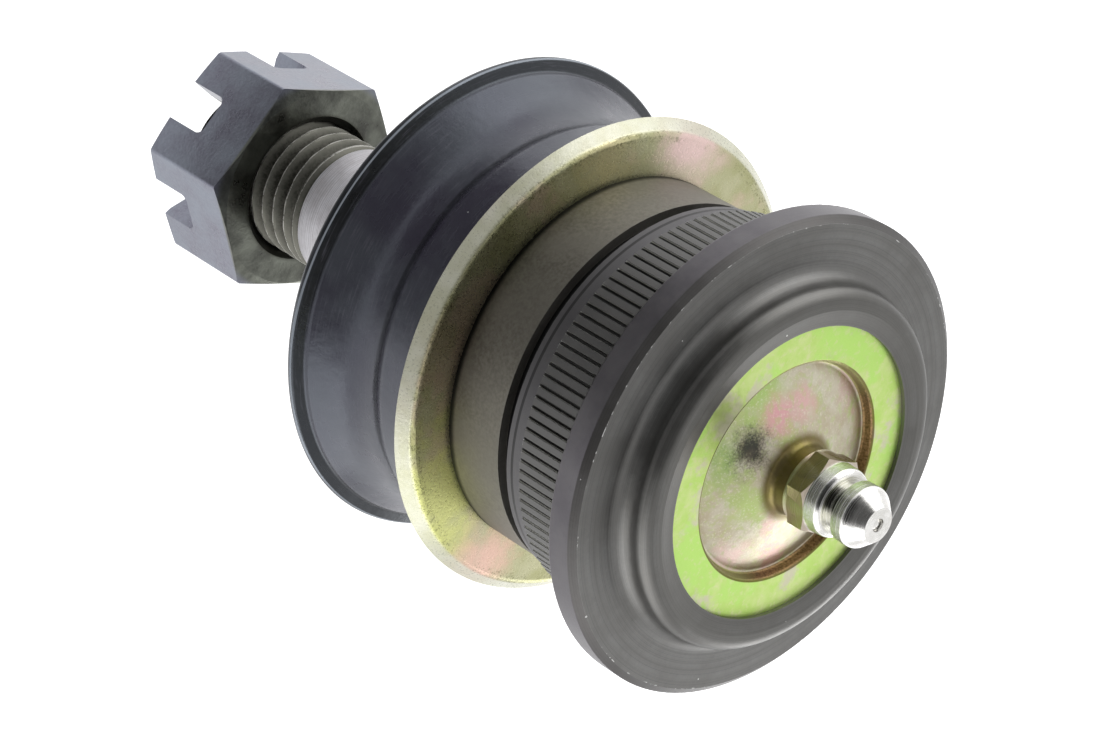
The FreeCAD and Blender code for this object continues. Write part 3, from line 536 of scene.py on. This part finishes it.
# The film's colours follow its thickness, which is thinnest where the dome was handled.
dome_shade = mixed(tree, patch, colour(0.50, 0.43, 0.30), colour(0.62, 0.58, 0.46))
dome_shade = mixed(tree, ease(tree, cloud, 0.6, 0.95), dome_shade, colour(0.45, 0.52, 0.22))
dome_shade = mixed(tree, ease(tree, blush, 0.65, 1.0), dome_shade, colour(0.62, 0.42, 0.38))
for centre, reach, amount, tint in (
        ((-4.6, -9.8, 5.6), 4.4, 0.85, colour(0.40, 0.58, 0.16)),
        ((2.8, -9.2, 5.4), 4.0, 0.85, colour(0.30, 0.44, 0.13)),
        ((5.4, -2.6, 7.0), 3.2, 0.70, colour(0.50, 0.64, 0.22)),
        ((-7.3, -3.4, 6.6), 2.2, 0.45, colour(0.42, 0.50, 0.20)),
        ((-4.0, -7.0, 6.4), 2.8, 0.85, colour(0.74, 0.36, 0.42)),
        ((-6.6, -4.4, 6.4), 2.6, 0.75, colour(0.74, 0.42, 0.44)),
        ((-11.3, 1.5, 5.6), 3.2, 0.55, colour(0.62, 0.38, 0.38)),
        ((11.0, 1.0, 5.6), 3.4, 0.70, colour(0.80, 0.56, 0.54))):
    dome_shade = mixed(tree, stain(tree, place, patch, centre, reach, amount), dome_shade, tint)
dome_shade = mixed(tree, product(tree, ease(tree, fleck, 0.5, 0.95), 0.45), dome_shade,
                   colour(0.48, 0.55, 0.22))
sparkle = product(tree, ease(tree, grain, 0.6, 1.0), 0.35)
dome_shade = mixed(tree, sparkle, dome_shade, colour(0.84, 0.80, 0.66))
on_cover_rim = ease(tree, place["Radius"], recess_wall_inner + 0.05, recess_wall_outer - 0.15)
shade = mixed(tree, on_cover_rim, dome_shade, rim_shade)
# Painted shade: a thin dark brown line along the recess's top edge.
recess_edge_shade = product(tree, band(tree, place["Radius"], recess_shade_inner, recess_shade_outer, 0.08),
                     ease(tree, place["Height"], recess_shade_height - 0.10, recess_shade_height))
shade = mixed(tree, product(tree, recess_edge_shade, 0.85), shade, colour(0.12, 0.07, 0.01))
on_wall = product(tree, band(tree, place["Radius"], recess_wall_inner, recess_wall_outer, 0.1),
                  ease(tree, place["Height"], recess_wall_top, recess_wall_top - 0.12))
wall_shade = mixed(tree, grain, colour(0.08, 0.05, 0.015), colour(0.26, 0.16, 0.07))
# The wall is greener on its far side, from 0.6 to 2.75 radians of turn.
far_side = band(tree, place["Turn"], 0.6, 2.75, 0.4)
wall_shade = mixed(tree, far_side, colour(0.36, 0.36, 0.13), wall_shade)
shade = mixed(tree, on_wall, shade, wall_shade)
rim_stain = stain(tree, place, patch, (0.0, -14.6, 6.45), 3.4, 0.65)
shade = mixed(tree, rim_stain, shade, colour(0.20, 0.25, 0.06))
# The hub is dark mustard: partly its own colour, partly painted shade under the fitting's hexagon.
hub_tone_and_shade = product(tree, ease(tree, place["Radius"], hub_radius + 1.1, hub_radius), 0.9)
shade = mixed(tree, hub_tone_and_shade, shade, colour(0.15, 0.11, 0.02))
speckle = blotch(tree, place, size=0.22, seed=15.0)
# Painted reflection: a ragged dark patch on the dome beside the hub.
cover_reflection_centre = (1.0, -7.5, 6.5)
cover_reflection_reach = shader_node(tree, "ShaderNodeVectorMath", {0: place["Point"], 1: cover_reflection_centre},
                           operation="DISTANCE")
cover_reflection_edge = added(tree, cover_reflection_reach.outputs["Value"], product(tree, speckle, 1.2))
cover_reflection_edge = added(tree, cover_reflection_edge, product(tree, patch, 0.8))
cover_dark_reflection = product(tree, ease(tree, cover_reflection_edge, 4.2, 1.4), 0.94)
cover_reflection_shade = mixed(tree, patch, colour(0.035, 0.035, 0.035), colour(0.09, 0.07, 0.055))
shade = mixed(tree, cover_dark_reflection, shade, cover_reflection_shade)
surface(tree, {
    "Base Color": shade,
    "Metallic": 0.75,
    "Roughness": added(tree, 0.28, product(tree, grain, 0.16)),
}, added(tree, grain, patch), bump_distance=0.008)
dress("cover_plate", passivated_green)


# ---------------------------------------------------------------- bearing shells and springs
# Inside the housing the stud turns between a lower shell and an upper cup of sintered steel,
# pressed together by a spring steel disc under the cover, all of them wet with grease.  The
# boot's garter ring and the fitting's check spring are of the same oiled steel.
oiled_steel, tree, place = new_finish("oiled_steel")
marks = place_group(tree, tool_marks, {"Along": place["Along"], "Pitch": 0.15})
cloud = blotch(tree, place, size=2.5, seed=21.0)
shade = mixed(tree, cloud, colour(0.22, 0.21, 0.20), colour(0.40, 0.39, 0.38))
surface(tree, {
    "Base Color": shade,
    "Metallic": 1.0,
    "Roughness": added(tree, 0.25, product(tree, cloud, 0.15)),
}, marks["Fine"], bump_distance=0.006)
for node_name in ("stud_bearing", "pressure_cup", "disc_spring", "boot_garter"):
    dress(node_name, oiled_steel)

# The check valve's spring: a square wire wound in five turns.  Its grid has a row for each step
# of the turn and a column for each corner of the wire: radius and height are the coil's, plus
# the corner's own offset from the wire's lower middle.
coil_foot = 13.1525
coil_top = 17.16
coil_radius = 0.85
coil_turns = 5.0
wire_width = 0.26
coil_steps = 161
climb = np.linspace(0.0, 1.0, coil_steps)[:, None]
coil_angle = 2.0 * np.pi * coil_turns * climb
wire_out = np.array([[-0.5, 0.5, 0.5, -0.5]]) * wire_width
wire_up = np.array([[0.0, 0.0, 1.0, 1.0]]) * wire_width
coil_height = coil_foot + (coil_top - coil_foot - wire_width) * climb + wire_up
coil_grid = np.stack([(coil_radius + wire_out) * np.cos(coil_angle),
                      (coil_radius + wire_out) * np.sin(coil_angle),
                      coil_height], axis=2) * MM
coil_index = np.arange(coil_steps * 4).reshape(coil_steps, 4)
coil_next = np.roll(coil_index, -1, axis=1)
coil_faces = np.stack([coil_index[:-1], coil_index[1:], coil_next[1:], coil_next[:-1]], axis=2)
coil_rows = coil_faces.reshape(-1, 4).tolist()
coil_rows.append(coil_index[0].tolist())
coil_rows.append(coil_index[-1, ::-1].tolist())
coil_mesh = bpy.data.meshes.new("valve_coil")
coil_mesh.from_pydata(coil_grid.reshape(-1, 3).tolist(), [], coil_rows)
coil_mesh.materials.append(oiled_steel)
coil = bpy.data.objects.new("valve_coil", coil_mesh)
bpy.context.collection.objects.link(coil)
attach(coil, "housing")
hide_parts("fitting_spring")
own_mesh(coil)


# ---------------------------------------------------------------- ball stud
# Forged and ground: polished ball, neck, 1 in 8 taper, and a rolled M16 x 2 thread with a
# cross hole for the split pin.
stud_turns = 160
ball_radius = 13.5
ball_height = -12.5
shank_radius = 7.2
shank_top = -25.4
thread_pitch = 2.0
thread_depth = 1.15
thread_crest = 7.85
thread_top = -65.9
thread_start = -66.4
thread_end = -85.7
stud_end = -87.0


def turned_mesh(name, radius, height, closed):
    """A surface turned about the z axis.

    radius and height are grids: one row for each step of turn, one column for each point of
    the profile.  A closed profile joins its ends; an open one gets a flat disc at each end.
    """
    turns, points = radius.shape
    angle = np.linspace(0.0, 2.0 * np.pi, turns, endpoint=False)[:, None]
    grid = np.stack([radius * np.cos(angle), radius * np.sin(angle), height], axis=2) * MM
    index = np.arange(turns * points).reshape(turns, points)
    following = np.roll(index, -1, axis=0)
    if closed:
        beside = np.roll(index, -1, axis=1)
        opposite = np.roll(following, -1, axis=1)
        faces = np.stack([index, beside, opposite, following], axis=2)
        rows = faces.reshape(-1, 4).tolist()
    else:
        faces = np.stack([index[:, :-1], index[:, 1:], following[:, 1:], following[:, :-1]], axis=2)
        rows = faces.reshape(-1, 4).tolist()
        rows.append(index[:, 0].tolist())
        rows.append(index[::-1, -1].tolist())
    mesh = bpy.data.meshes.new(name)
    mesh.from_pydata(grid.reshape(-1, 3).tolist(), [], rows)
    mesh.polygons.foreach_set("use_smooth", np.ones(len(mesh.polygons), dtype=bool))
    mesh.update()
    made = bpy.data.objects.new(name, mesh)
    bpy.context.collection.objects.link(made)
    return made


# The ball's arc from its grease flat down to the neck, then the shank as straight runs.
ball_steps = 60
ball_arc = np.radians(np.linspace(75.0, -52.0, ball_steps))
ball_radii = ball_radius * np.cos(ball_arc)
ball_heights = ball_height + ball_radius * np.sin(ball_arc)
neck_curve = np.linspace(0.0, 1.0, 8)[1:]
neck_radii = ball_radii[-1] + (shank_radius - ball_radii[-1]) * (1.0 - (1.0 - neck_curve) ** 2)
neck_heights = ball_heights[-1] + (shank_top - ball_heights[-1]) * neck_curve ** 1.4
shank_heights = np.array([-31.0, -37.0, -37.6, -39.8, -40.2, -52.0, -65.3, -65.4, -65.7])
shank_radii = np.array([shank_radius, 9.2, 9.41, 9.41, 9.38, 8.66, 7.86, 7.82, 7.5])
points_per_pitch = 16.0
thread_heights = np.arange(thread_top, stud_end, -thread_pitch / points_per_pitch)
# The blank's outline under the thread: a step up at the run-out and a chamfer at the end.
envelope = np.interp(-thread_heights, [-thread_top, -thread_start, -thread_end, -stud_end],
                     [7.4, thread_crest, thread_crest, 6.6])
stud_turn = np.linspace(0.0, 2.0 * np.pi, stud_turns, endpoint=False)[:, None]
# Right-hand thread: the crest rises one pitch in a turn.  Height within a pitch runs from a
# narrow crest down straight flanks to a narrow root, and the depth fades in from the run-out.
first_crest = -68.3
first_turn = np.radians(84.0)
crest_share = 0.10
flank_share = 0.78
run_out_length = 1.6
turned_by = (stud_turn + first_turn) / (2.0 * np.pi)
phase = (thread_heights[None, :] - first_crest) / thread_pitch - turned_by
from_crest = 2.0 * np.abs(phase - np.round(phase))
flank = np.clip((from_crest - crest_share) / flank_share, 0.0, 1.0)
run_out = np.clip((thread_start - thread_heights) / run_out_length, 0.0, 1.0)[None, :]
thread_radii = np.minimum(envelope[None, :], thread_crest - thread_depth * flank * run_out)
plain_radii = np.concatenate([ball_radii, neck_radii, shank_radii])
plain_heights = np.concatenate([ball_heights, neck_heights, shank_heights])
end_radius = 6.4
stud_radii = np.concatenate([np.tile(plain_radii, (stud_turns, 1)), thread_radii,
                             np.full((stud_turns, 1), end_radius)], axis=1)
stud_heights = np.concatenate([plain_heights, thread_heights, [stud_end]])
stud_heights = np.tile(stud_heights, (stud_turns, 1))
stud = turned_mesh("threaded_stud", stud_radii, stud_heights, closed=False)

# The cross hole is cut with a cylinder along y, which then goes.
hole_sides = 48
hole_radius = 1.75
hole_height = -83.7
hole_reach = 12.0
hole_turn = np.linspace(0.0, 2.0 * np.pi, hole_sides, endpoint=False)
hole_ring = np.stack([hole_radius * np.cos(hole_turn), np.zeros(hole_sides),
                      hole_height + hole_radius * np.sin(hole_turn)], axis=1)
hole_points = np.concatenate([hole_ring + [0.0, -hole_reach, 0.0],
                              hole_ring + [0.0, hole_reach, 0.0]]) * MM
near_end = np.arange(hole_sides)
far_end = near_end + hole_sides
hole_walls = np.stack([near_end, np.roll(near_end, -1), np.roll(far_end, -1), far_end], axis=1)
hole_faces = hole_walls.tolist() + [near_end[::-1].tolist(), far_end.tolist()]
hole_mesh = bpy.data.meshes.new("cross_hole")
hole_mesh.from_pydata(hole_points.tolist(), [], hole_faces)
hole_cutter = bpy.data.objects.new("cross_hole", hole_mesh)
bpy.context.collection.objects.link(hole_cutter)
hole_cut = stud.modifiers.new("cross_hole", "BOOLEAN")
hole_cut.object = hole_cutter
hole_cut.operation = "DIFFERENCE"
hole_cut.solver = "EXACT"
bpy.context.view_layer.update()
stud_evaluated = stud.evaluated_get(bpy.context.evaluated_depsgraph_get())
stud_cut = bpy.data.meshes.new_from_object(stud_evaluated)
stud.modifiers.clear()
stud.data = stud_cut
bpy.data.objects.remove(hole_cutter)
stud.data.set_sharp_from_angle(angle=math.radians(40.0))

stud_steel, tree, place = new_finish("stud_steel")
marks = place_group(tree, tool_marks, {"Along": place["Height"], "Pitch": 0.12})
cloud = blotch(tree, place, size=2.0, seed=31.0)
grain = blotch(tree, place, size=0.30, seed=32.0)
shade = mixed(tree, cloud, colour(0.54, 0.52, 0.54), colour(0.68, 0.67, 0.70))
scratches = product(tree, ease(tree, marks["Fine"], 0.52, 0.36), 0.6)
shade = mixed(tree, scratches, shade, colour(0.26, 0.255, 0.26))
on_thread = ease(tree, place["Height"], thread_top + 0.3, thread_top)
# Painted shade: the thread is darker than the taper, and darkest towards its roots.
depth = ease(tree, place["Radius"], thread_crest - 0.02, 7.0)
thread_shade = mixed(tree, depth, colour(0.12, 0.12, 0.10), colour(0.025, 0.025, 0.018))
thread_shade = mixed(tree, product(tree, grain, 0.35), thread_shade, colour(0.20, 0.19, 0.165))
# Painted highlight: broken light lines along the thread's crests.
at_crest = ease(tree, place["Radius"], thread_crest - 0.03, thread_crest - 0.002)
crest = product(tree, at_crest, ease(tree, grain, 0.1, 0.4))
thread_shade = mixed(tree, crest, thread_shade, colour(0.46, 0.45, 0.42))
shade = mixed(tree, on_thread, shade, thread_shade)
surface(tree, {
    "Base Color": shade,
    "Metallic": 0.7,
    "Roughness": added(tree, 0.46, product(tree, grain, 0.15)),
}, added(tree, marks["Fine"], grain), bump_distance=0.006)
stud.data.materials.clear()
stud.data.materials.append(stud_steel)
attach(stud, "ball_stud")
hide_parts("ball_stud")


# ---------------------------------------------------------------- boot retainer
# Pressed from sheet steel, zinc plated and passivated pale yellow.  The mouth of the skirt is
# a sheared edge, and the press leaves short dark marks on it.
skirt_radius = 26.5
speckle_inner = 25.4
speckle_outer = 26.2

passivated_straw, tree, place = new_finish("passivated_straw")
cloud = blotch(tree, place, size=7.0, seed=41.0)
patch = blotch(tree, place, size=3.0, seed=42.0)
blush = blotch(tree, place, size=9.0, seed=43.0)
grain = blotch(tree, place, size=0.25, seed=44.0)
shade = mixed(tree, patch, colour(0.40, 0.40, 0.21), colour(0.50, 0.49, 0.31))
shade = mixed(tree, product(tree, ease(tree, blush, 0.55, 0.9), 0.5), shade,
              colour(0.62, 0.46, 0.38))
for centre, reach, amount, tint in (
        ((22.5, -10.0, -22.0), 11.0, 0.85, colour(0.72, 0.74, 0.28)),
        ((24.5, 3.0, -22.0), 5.5, 0.80, colour(0.80, 0.52, 0.44)),
        ((10.0, -22.5, -22.0), 5.0, 0.35, colour(0.56, 0.40, 0.32)),
        ((-17.0, -18.0, -22.0), 5.5, 0.70, colour(0.66, 0.60, 0.34)),
        ((-23.5, -8.0, -22.0), 6.5, 0.80, colour(0.86, 0.62, 0.62)),
        ((-20.0, 14.0, -22.0), 7.0, 0.60, colour(0.60, 0.70, 0.24)),
        ((14.0, 20.0, -22.0), 7.0, 0.60, colour(0.78, 0.58, 0.50))):
    shade = mixed(tree, stain(tree, place, patch, centre, reach, amount), shade, tint)
on_skirt = ease(tree, place["Radius"], skirt_radius - 0.4, skirt_radius)
skirt_shade = mixed(tree, patch, colour(0.60, 0.60, 0.46), colour(0.74, 0.74, 0.63))
shade = mixed(tree, product(tree, on_skirt, 0.8), shade, skirt_shade)
speckle = blotch(tree, place, size=0.22, seed=45.0)
speckle = product(tree, ease(tree, speckle, 0.62, 0.85),
                  band(tree, place["Radius"], speckle_inner, speckle_outer, 0.5))
speckle = product(tree, speckle, ease(tree, cloud, 0.15, 0.5))
shade = mixed(tree, product(tree, speckle, 0.6), shade, colour(0.14, 0.14, 0.06))
surface(tree, {
    "Base Color": shade,
    "Metallic": maths(tree, "SUBTRACT", 0.97, product(tree, on_skirt, 0.7)),
    "Roughness": added(tree, 0.24, product(tree, grain, 0.16)),
}, added(tree, grain, product(tree, patch, 0.5)), bump_distance=0.006)
dress("boot_retainer", passivated_straw)


# ---------------------------------------------------------------- dust boot
# Moulded black rubber: a bead under the retainer, a trumpet that ends in a sharp brim, a cone,
# and a collar on the stud's taper.
boot_turns = 240


def rounded_path(corners, steps):
    """A closed outline from corners (radius, height, round).

    Each corner is cut back along both sides by its round, and a parabola bridges the cut.
    """
    data = np.array(corners, dtype=float)
    points = data[:, :2]
    rounds = data[:, 2:]
    before = np.roll(points, 1, axis=0) - points
    after = np.roll(points, -1, axis=0) - points
    before_length = np.linalg.norm(before, axis=1, keepdims=True)
    after_length = np.linalg.norm(after, axis=1, keepdims=True)
    cut = np.minimum(rounds, 0.45 * np.minimum(before_length, after_length))
    start = points + before / before_length * cut
    end = points + after / after_length * cut
    u = np.linspace(0.0, 1.0, steps)[None, :, None]
    from_start = start[:, None] * (1.0 - u) ** 2
    through_corner = points[:, None] * 2.0 * u * (1.0 - u)
    to_end = end[:, None] * u ** 2
    return (from_start + through_corner + to_end).reshape(-1, 2)


# The trumpet: radius grows with a power of the way from the waist to the brim's root.
waist_radius = 23.3
waist_height = -33.0
root_radius = 26.3
root_height = -39.7
flare = np.linspace(0.0, 1.0, 9)
flare_radii = waist_radius + (root_radius - waist_radius) * flare ** 2.2
flare_heights = waist_height + (root_height - waist_height) * flare
flare_corners = [(r, z, 0.6) for r, z in zip(flare_radii[:-1], flare_heights[:-1])]
boot_outline = rounded_path([
    (21.37, -23.22, 0.3), (24.55, -23.22, 0.5), (24.55, -25.7, 0.4), (24.0, -25.8, 0.1),
    (24.0, -30.4, 0.7), (23.35, -31.6, 0.9), *flare_corners,
    (root_radius, -39.75, 0.12), (26.45, -40.25, 0.2), (27.7, -40.62, 0.2), (27.88, -40.95, 0.15),
    (27.75, -41.45, 0.25), (15.0, -48.35, 1.6), (11.7, -49.85, 0.5), (11.7, -50.9, 0.15),
    (10.72, -50.92, 0.1), (10.72, -52.68, 0.1), (11.7, -52.7, 0.15), (11.68, -53.78, 0.3),
    (8.87, -53.78, 0.2), (8.87, -49.85, 0.2), (13.3, -46.75, 1.0), (24.5, -41.05, 0.6),
    (24.5, -39.7, 0.6), (21.25, -33.3, 0.8), (21.25, -29.6, 0.1), (21.37, -29.5, 0.05),
], steps=5)
boot_turn = np.linspace(0.0, 2.0 * np.pi, boot_turns, endpoint=False)[:, None]
boot_radii = np.tile(boot_outline[:, 0], (boot_turns, 1))
# Moulded rubber isn't quite round: the trumpet wavers a little, and most at its brim.
waver = 0.07 * np.sin(3.0 * boot_turn + 0.6) + 0.05 * np.sin(5.0 * boot_turn + 2.0) - 0.10
loose = np.clip((boot_outline[:, 0] - 22.5) / 4.0, 0.0, 1.0) * (boot_outline[:, 1] < -32.0)
boot_radii = boot_radii + waver * loose[None, :]
boot_heights = np.tile(boot_outline[:, 1], (boot_turns, 1))
boot = turned_mesh("rubber_boot", boot_radii, boot_heights, closed=True)
boot.data.set_sharp_from_angle(angle=math.radians(50.0))

ledge_radius = 26.4
brim_inner = 27.60
brim_outer = 27.68
brim_height = -40.9
crease_top = -31.2
crease_foot = -32.0

rubber, tree, place = new_finish("rubber")
cloud = blotch(tree, place, size=9.0, seed=51.0)
patch = blotch(tree, place, size=2.0, seed=52.0)
grain = blotch(tree, place, size=0.30, seed=53.0)
shade = mixed(tree, cloud, colour(0.034, 0.029, 0.044), colour(0.052, 0.055, 0.066))
# Painted shadow: the ledge under the brim, facing the housing, is near black.
ledge_painted_shadow = product(tree, ease(tree, place["Radius"], ledge_radius - 0.2, ledge_radius),
                   ease(tree, place["Height"], root_height, root_height - 0.3))
shade = mixed(tree, ledge_painted_shadow, shade, colour(0.008, 0.008, 0.008))
# Painted highlight: a thin pale blue line along the brim's outer edge.
brim_edge_highlight = product(tree, band(tree, place["Radius"], brim_inner, brim_outer, 0.06),
                    ease(tree, place["Height"], brim_height - 0.2, brim_height))
shade = mixed(tree, product(tree, brim_edge_highlight, 0.7), shade, colour(0.40, 0.44, 0.49))
# Painted shade: a near-black band round the step from the bead into the trumpet.
crease_painted_shade = band(tree, place["Height"], crease_foot, crease_top, 0.35)
shade = mixed(tree, product(tree, crease_painted_shade, 0.7), shade, colour(0.008, 0.008, 0.010))
dust = dust_specks(tree, place, cell=1.8, share=0.10, size=0.13)
shade = mixed(tree, dust, shade, colour(0.35, 0.35, 0.36))
scuff_place = shader_node(tree, "ShaderNodeCombineXYZ", {
    0: product(tree, place["Turn"], 9.0),
    1: product(tree, place["Along"], 4.0),
})
scuff_noise = shader_node(tree, "ShaderNodeTexNoise", {
    "Vector": scuff_place.outputs[0],
    "Scale": 1.0,
    "Detail": 4.0,
})
scuffs = product(tree, ease(tree, scuff_noise.outputs[0], 0.52, 0.70), cloud)
shade = mixed(tree, product(tree, scuffs, 0.5), shade, colour(0.10, 0.094, 0.115))
rough = added(tree, 0.20, product(tree, cloud, 0.14))
rough = added(tree, rough, product(tree, patch, 0.05))
rough = added(tree, rough, product(tree, scuffs, 0.15))
surface(tree, {
    "Base Color": shade,
    "Roughness": rough,
    "IOR": 1.55,
    "Specular Tint": colour(0.80, 0.88, 1.0),
}, added(tree, patch, product(tree, grain, 0.12)), bump_distance=0.03, bump_strength=0.6)
boot.data.materials.append(rubber)
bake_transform(boot)
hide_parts("dust_boot")


# ---------------------------------------------------------------- castle nut
# Steel nut with a blue-grey oxide, six milled slots, and a darker bearing face that shows its
# turned chamfer.  It screws up the stud, and a split pin through a slot keeps it there.
face_height = -73.6
bore_radius = 8.6

nut_oxide, tree, place = new_finish("nut_oxide")
marks = place_group(tree, tool_marks, {"Along": place["Radius"], "Pitch": 0.12})
cloud = blotch(tree, place, size=5.0, seed=61.0)
grain = blotch(tree, place, size=0.35, seed=62.0)
shade = mixed(tree, cloud, colour(0.142, 0.137, 0.176), colour(0.208, 0.226, 0.270))
shade = mixed(tree, product(tree, grain, 0.2), shade, colour(0.31, 0.34, 0.38))
on_face = ease(tree, place["Height"], face_height - 0.4, face_height)
face_shade = mixed(tree, cloud, colour(0.055, 0.055, 0.05), colour(0.19, 0.20, 0.17))
shade = mixed(tree, on_face, shade, face_shade)
# Painted shade: the face darkens to near black round the bore's mouth.
bore_painted_shade = ease(tree, place["Radius"], bore_radius + 0.7, bore_radius)
shade = mixed(tree, bore_painted_shade, shade, colour(0.05, 0.05, 0.04))
surface(tree, {
    "Base Color": shade,
    "Metallic": added(tree, 0.85, product(tree, on_face, 0.15)),
    "Roughness": added(tree, 0.25, product(tree, cloud, 0.12)),
}, added(tree, grain, product(tree, marks["Fine"], 0.4)), bump_distance=0.010)
dress("castle_nut", nut_oxide)


# ---------------------------------------------------------------- grease fitting
# A steel fitting turned from hexagon bar and nickel plated, with the cutter's rings left on its
# shoulder and head.  It screws into the cover's hub, and a ball in its tip keeps the grease in.
hexagon_foot = 10.4
hexagon_top = 12.6
waist_foot = 14.7
waist_top = 15.8
fitting_reflection_foot = 12.8
fitting_reflection_top = 18.0
fitting_reflection_start = -1.60
fitting_reflection_end = -1.18

bright_nickel, tree, place = new_finish("bright_nickel")
marks = place_group(tree, tool_marks, {"Along": place["Along"], "Pitch": 0.10})
grain = blotch(tree, place, size=0.30, seed=71.0)
cloud = blotch(tree, place, size=1.5, seed=72.0)
shade = mixed(tree, cloud, colour(0.68, 0.67, 0.64), colour(0.84, 0.83, 0.81))
# Painted reflection: the hexagon's flats are painted brown.
hex_flats_reflection = band(tree, place["Height"], hexagon_foot, hexagon_top, 0.1)
shade = mixed(tree, product(tree, hex_flats_reflection, 0.8), shade, colour(0.42, 0.34, 0.25))
# Painted shade with a green painted reflection: the waist is darker and greener than the rest.
waist_painted_shade = product(tree, band(tree, place["Height"], waist_foot, waist_top, 0.2), 0.6)
shade = mixed(tree, waist_painted_shade, shade, colour(0.34, 0.34, 0.26))
# A dark reflection is painted in the cutter's rings on one side, which is a range of turn.
fitting_dark_reflection = product(tree, band(tree, place["Turn"], fitting_reflection_start, fitting_reflection_end, 0.25),
               ease(tree, marks["Fine"], 0.66, 0.42))
fitting_dark_reflection = product(tree, fitting_dark_reflection, band(tree, place["Height"], fitting_reflection_foot, fitting_reflection_top, 0.3))
shade = mixed(tree, product(tree, fitting_dark_reflection, 0.9), shade, colour(0.04, 0.04, 0.035))
surface(tree, {
    "Base Color": shade,
    "Metallic": 1.0,
    "Roughness": added(tree, 0.12, product(tree, marks["Fine"], 0.22)),
}, added(tree, marks["Fine"], product(tree, grain, 0.3)), bump_distance=0.010)
for node_name in ("grease_fitting", "fitting_check_ball"):
    dress(node_name, bright_nickel)


# ---------------------------------------------------------------- view
# The view's settings.

bpy.context.scene.view_settings.view_transform = "Standard"
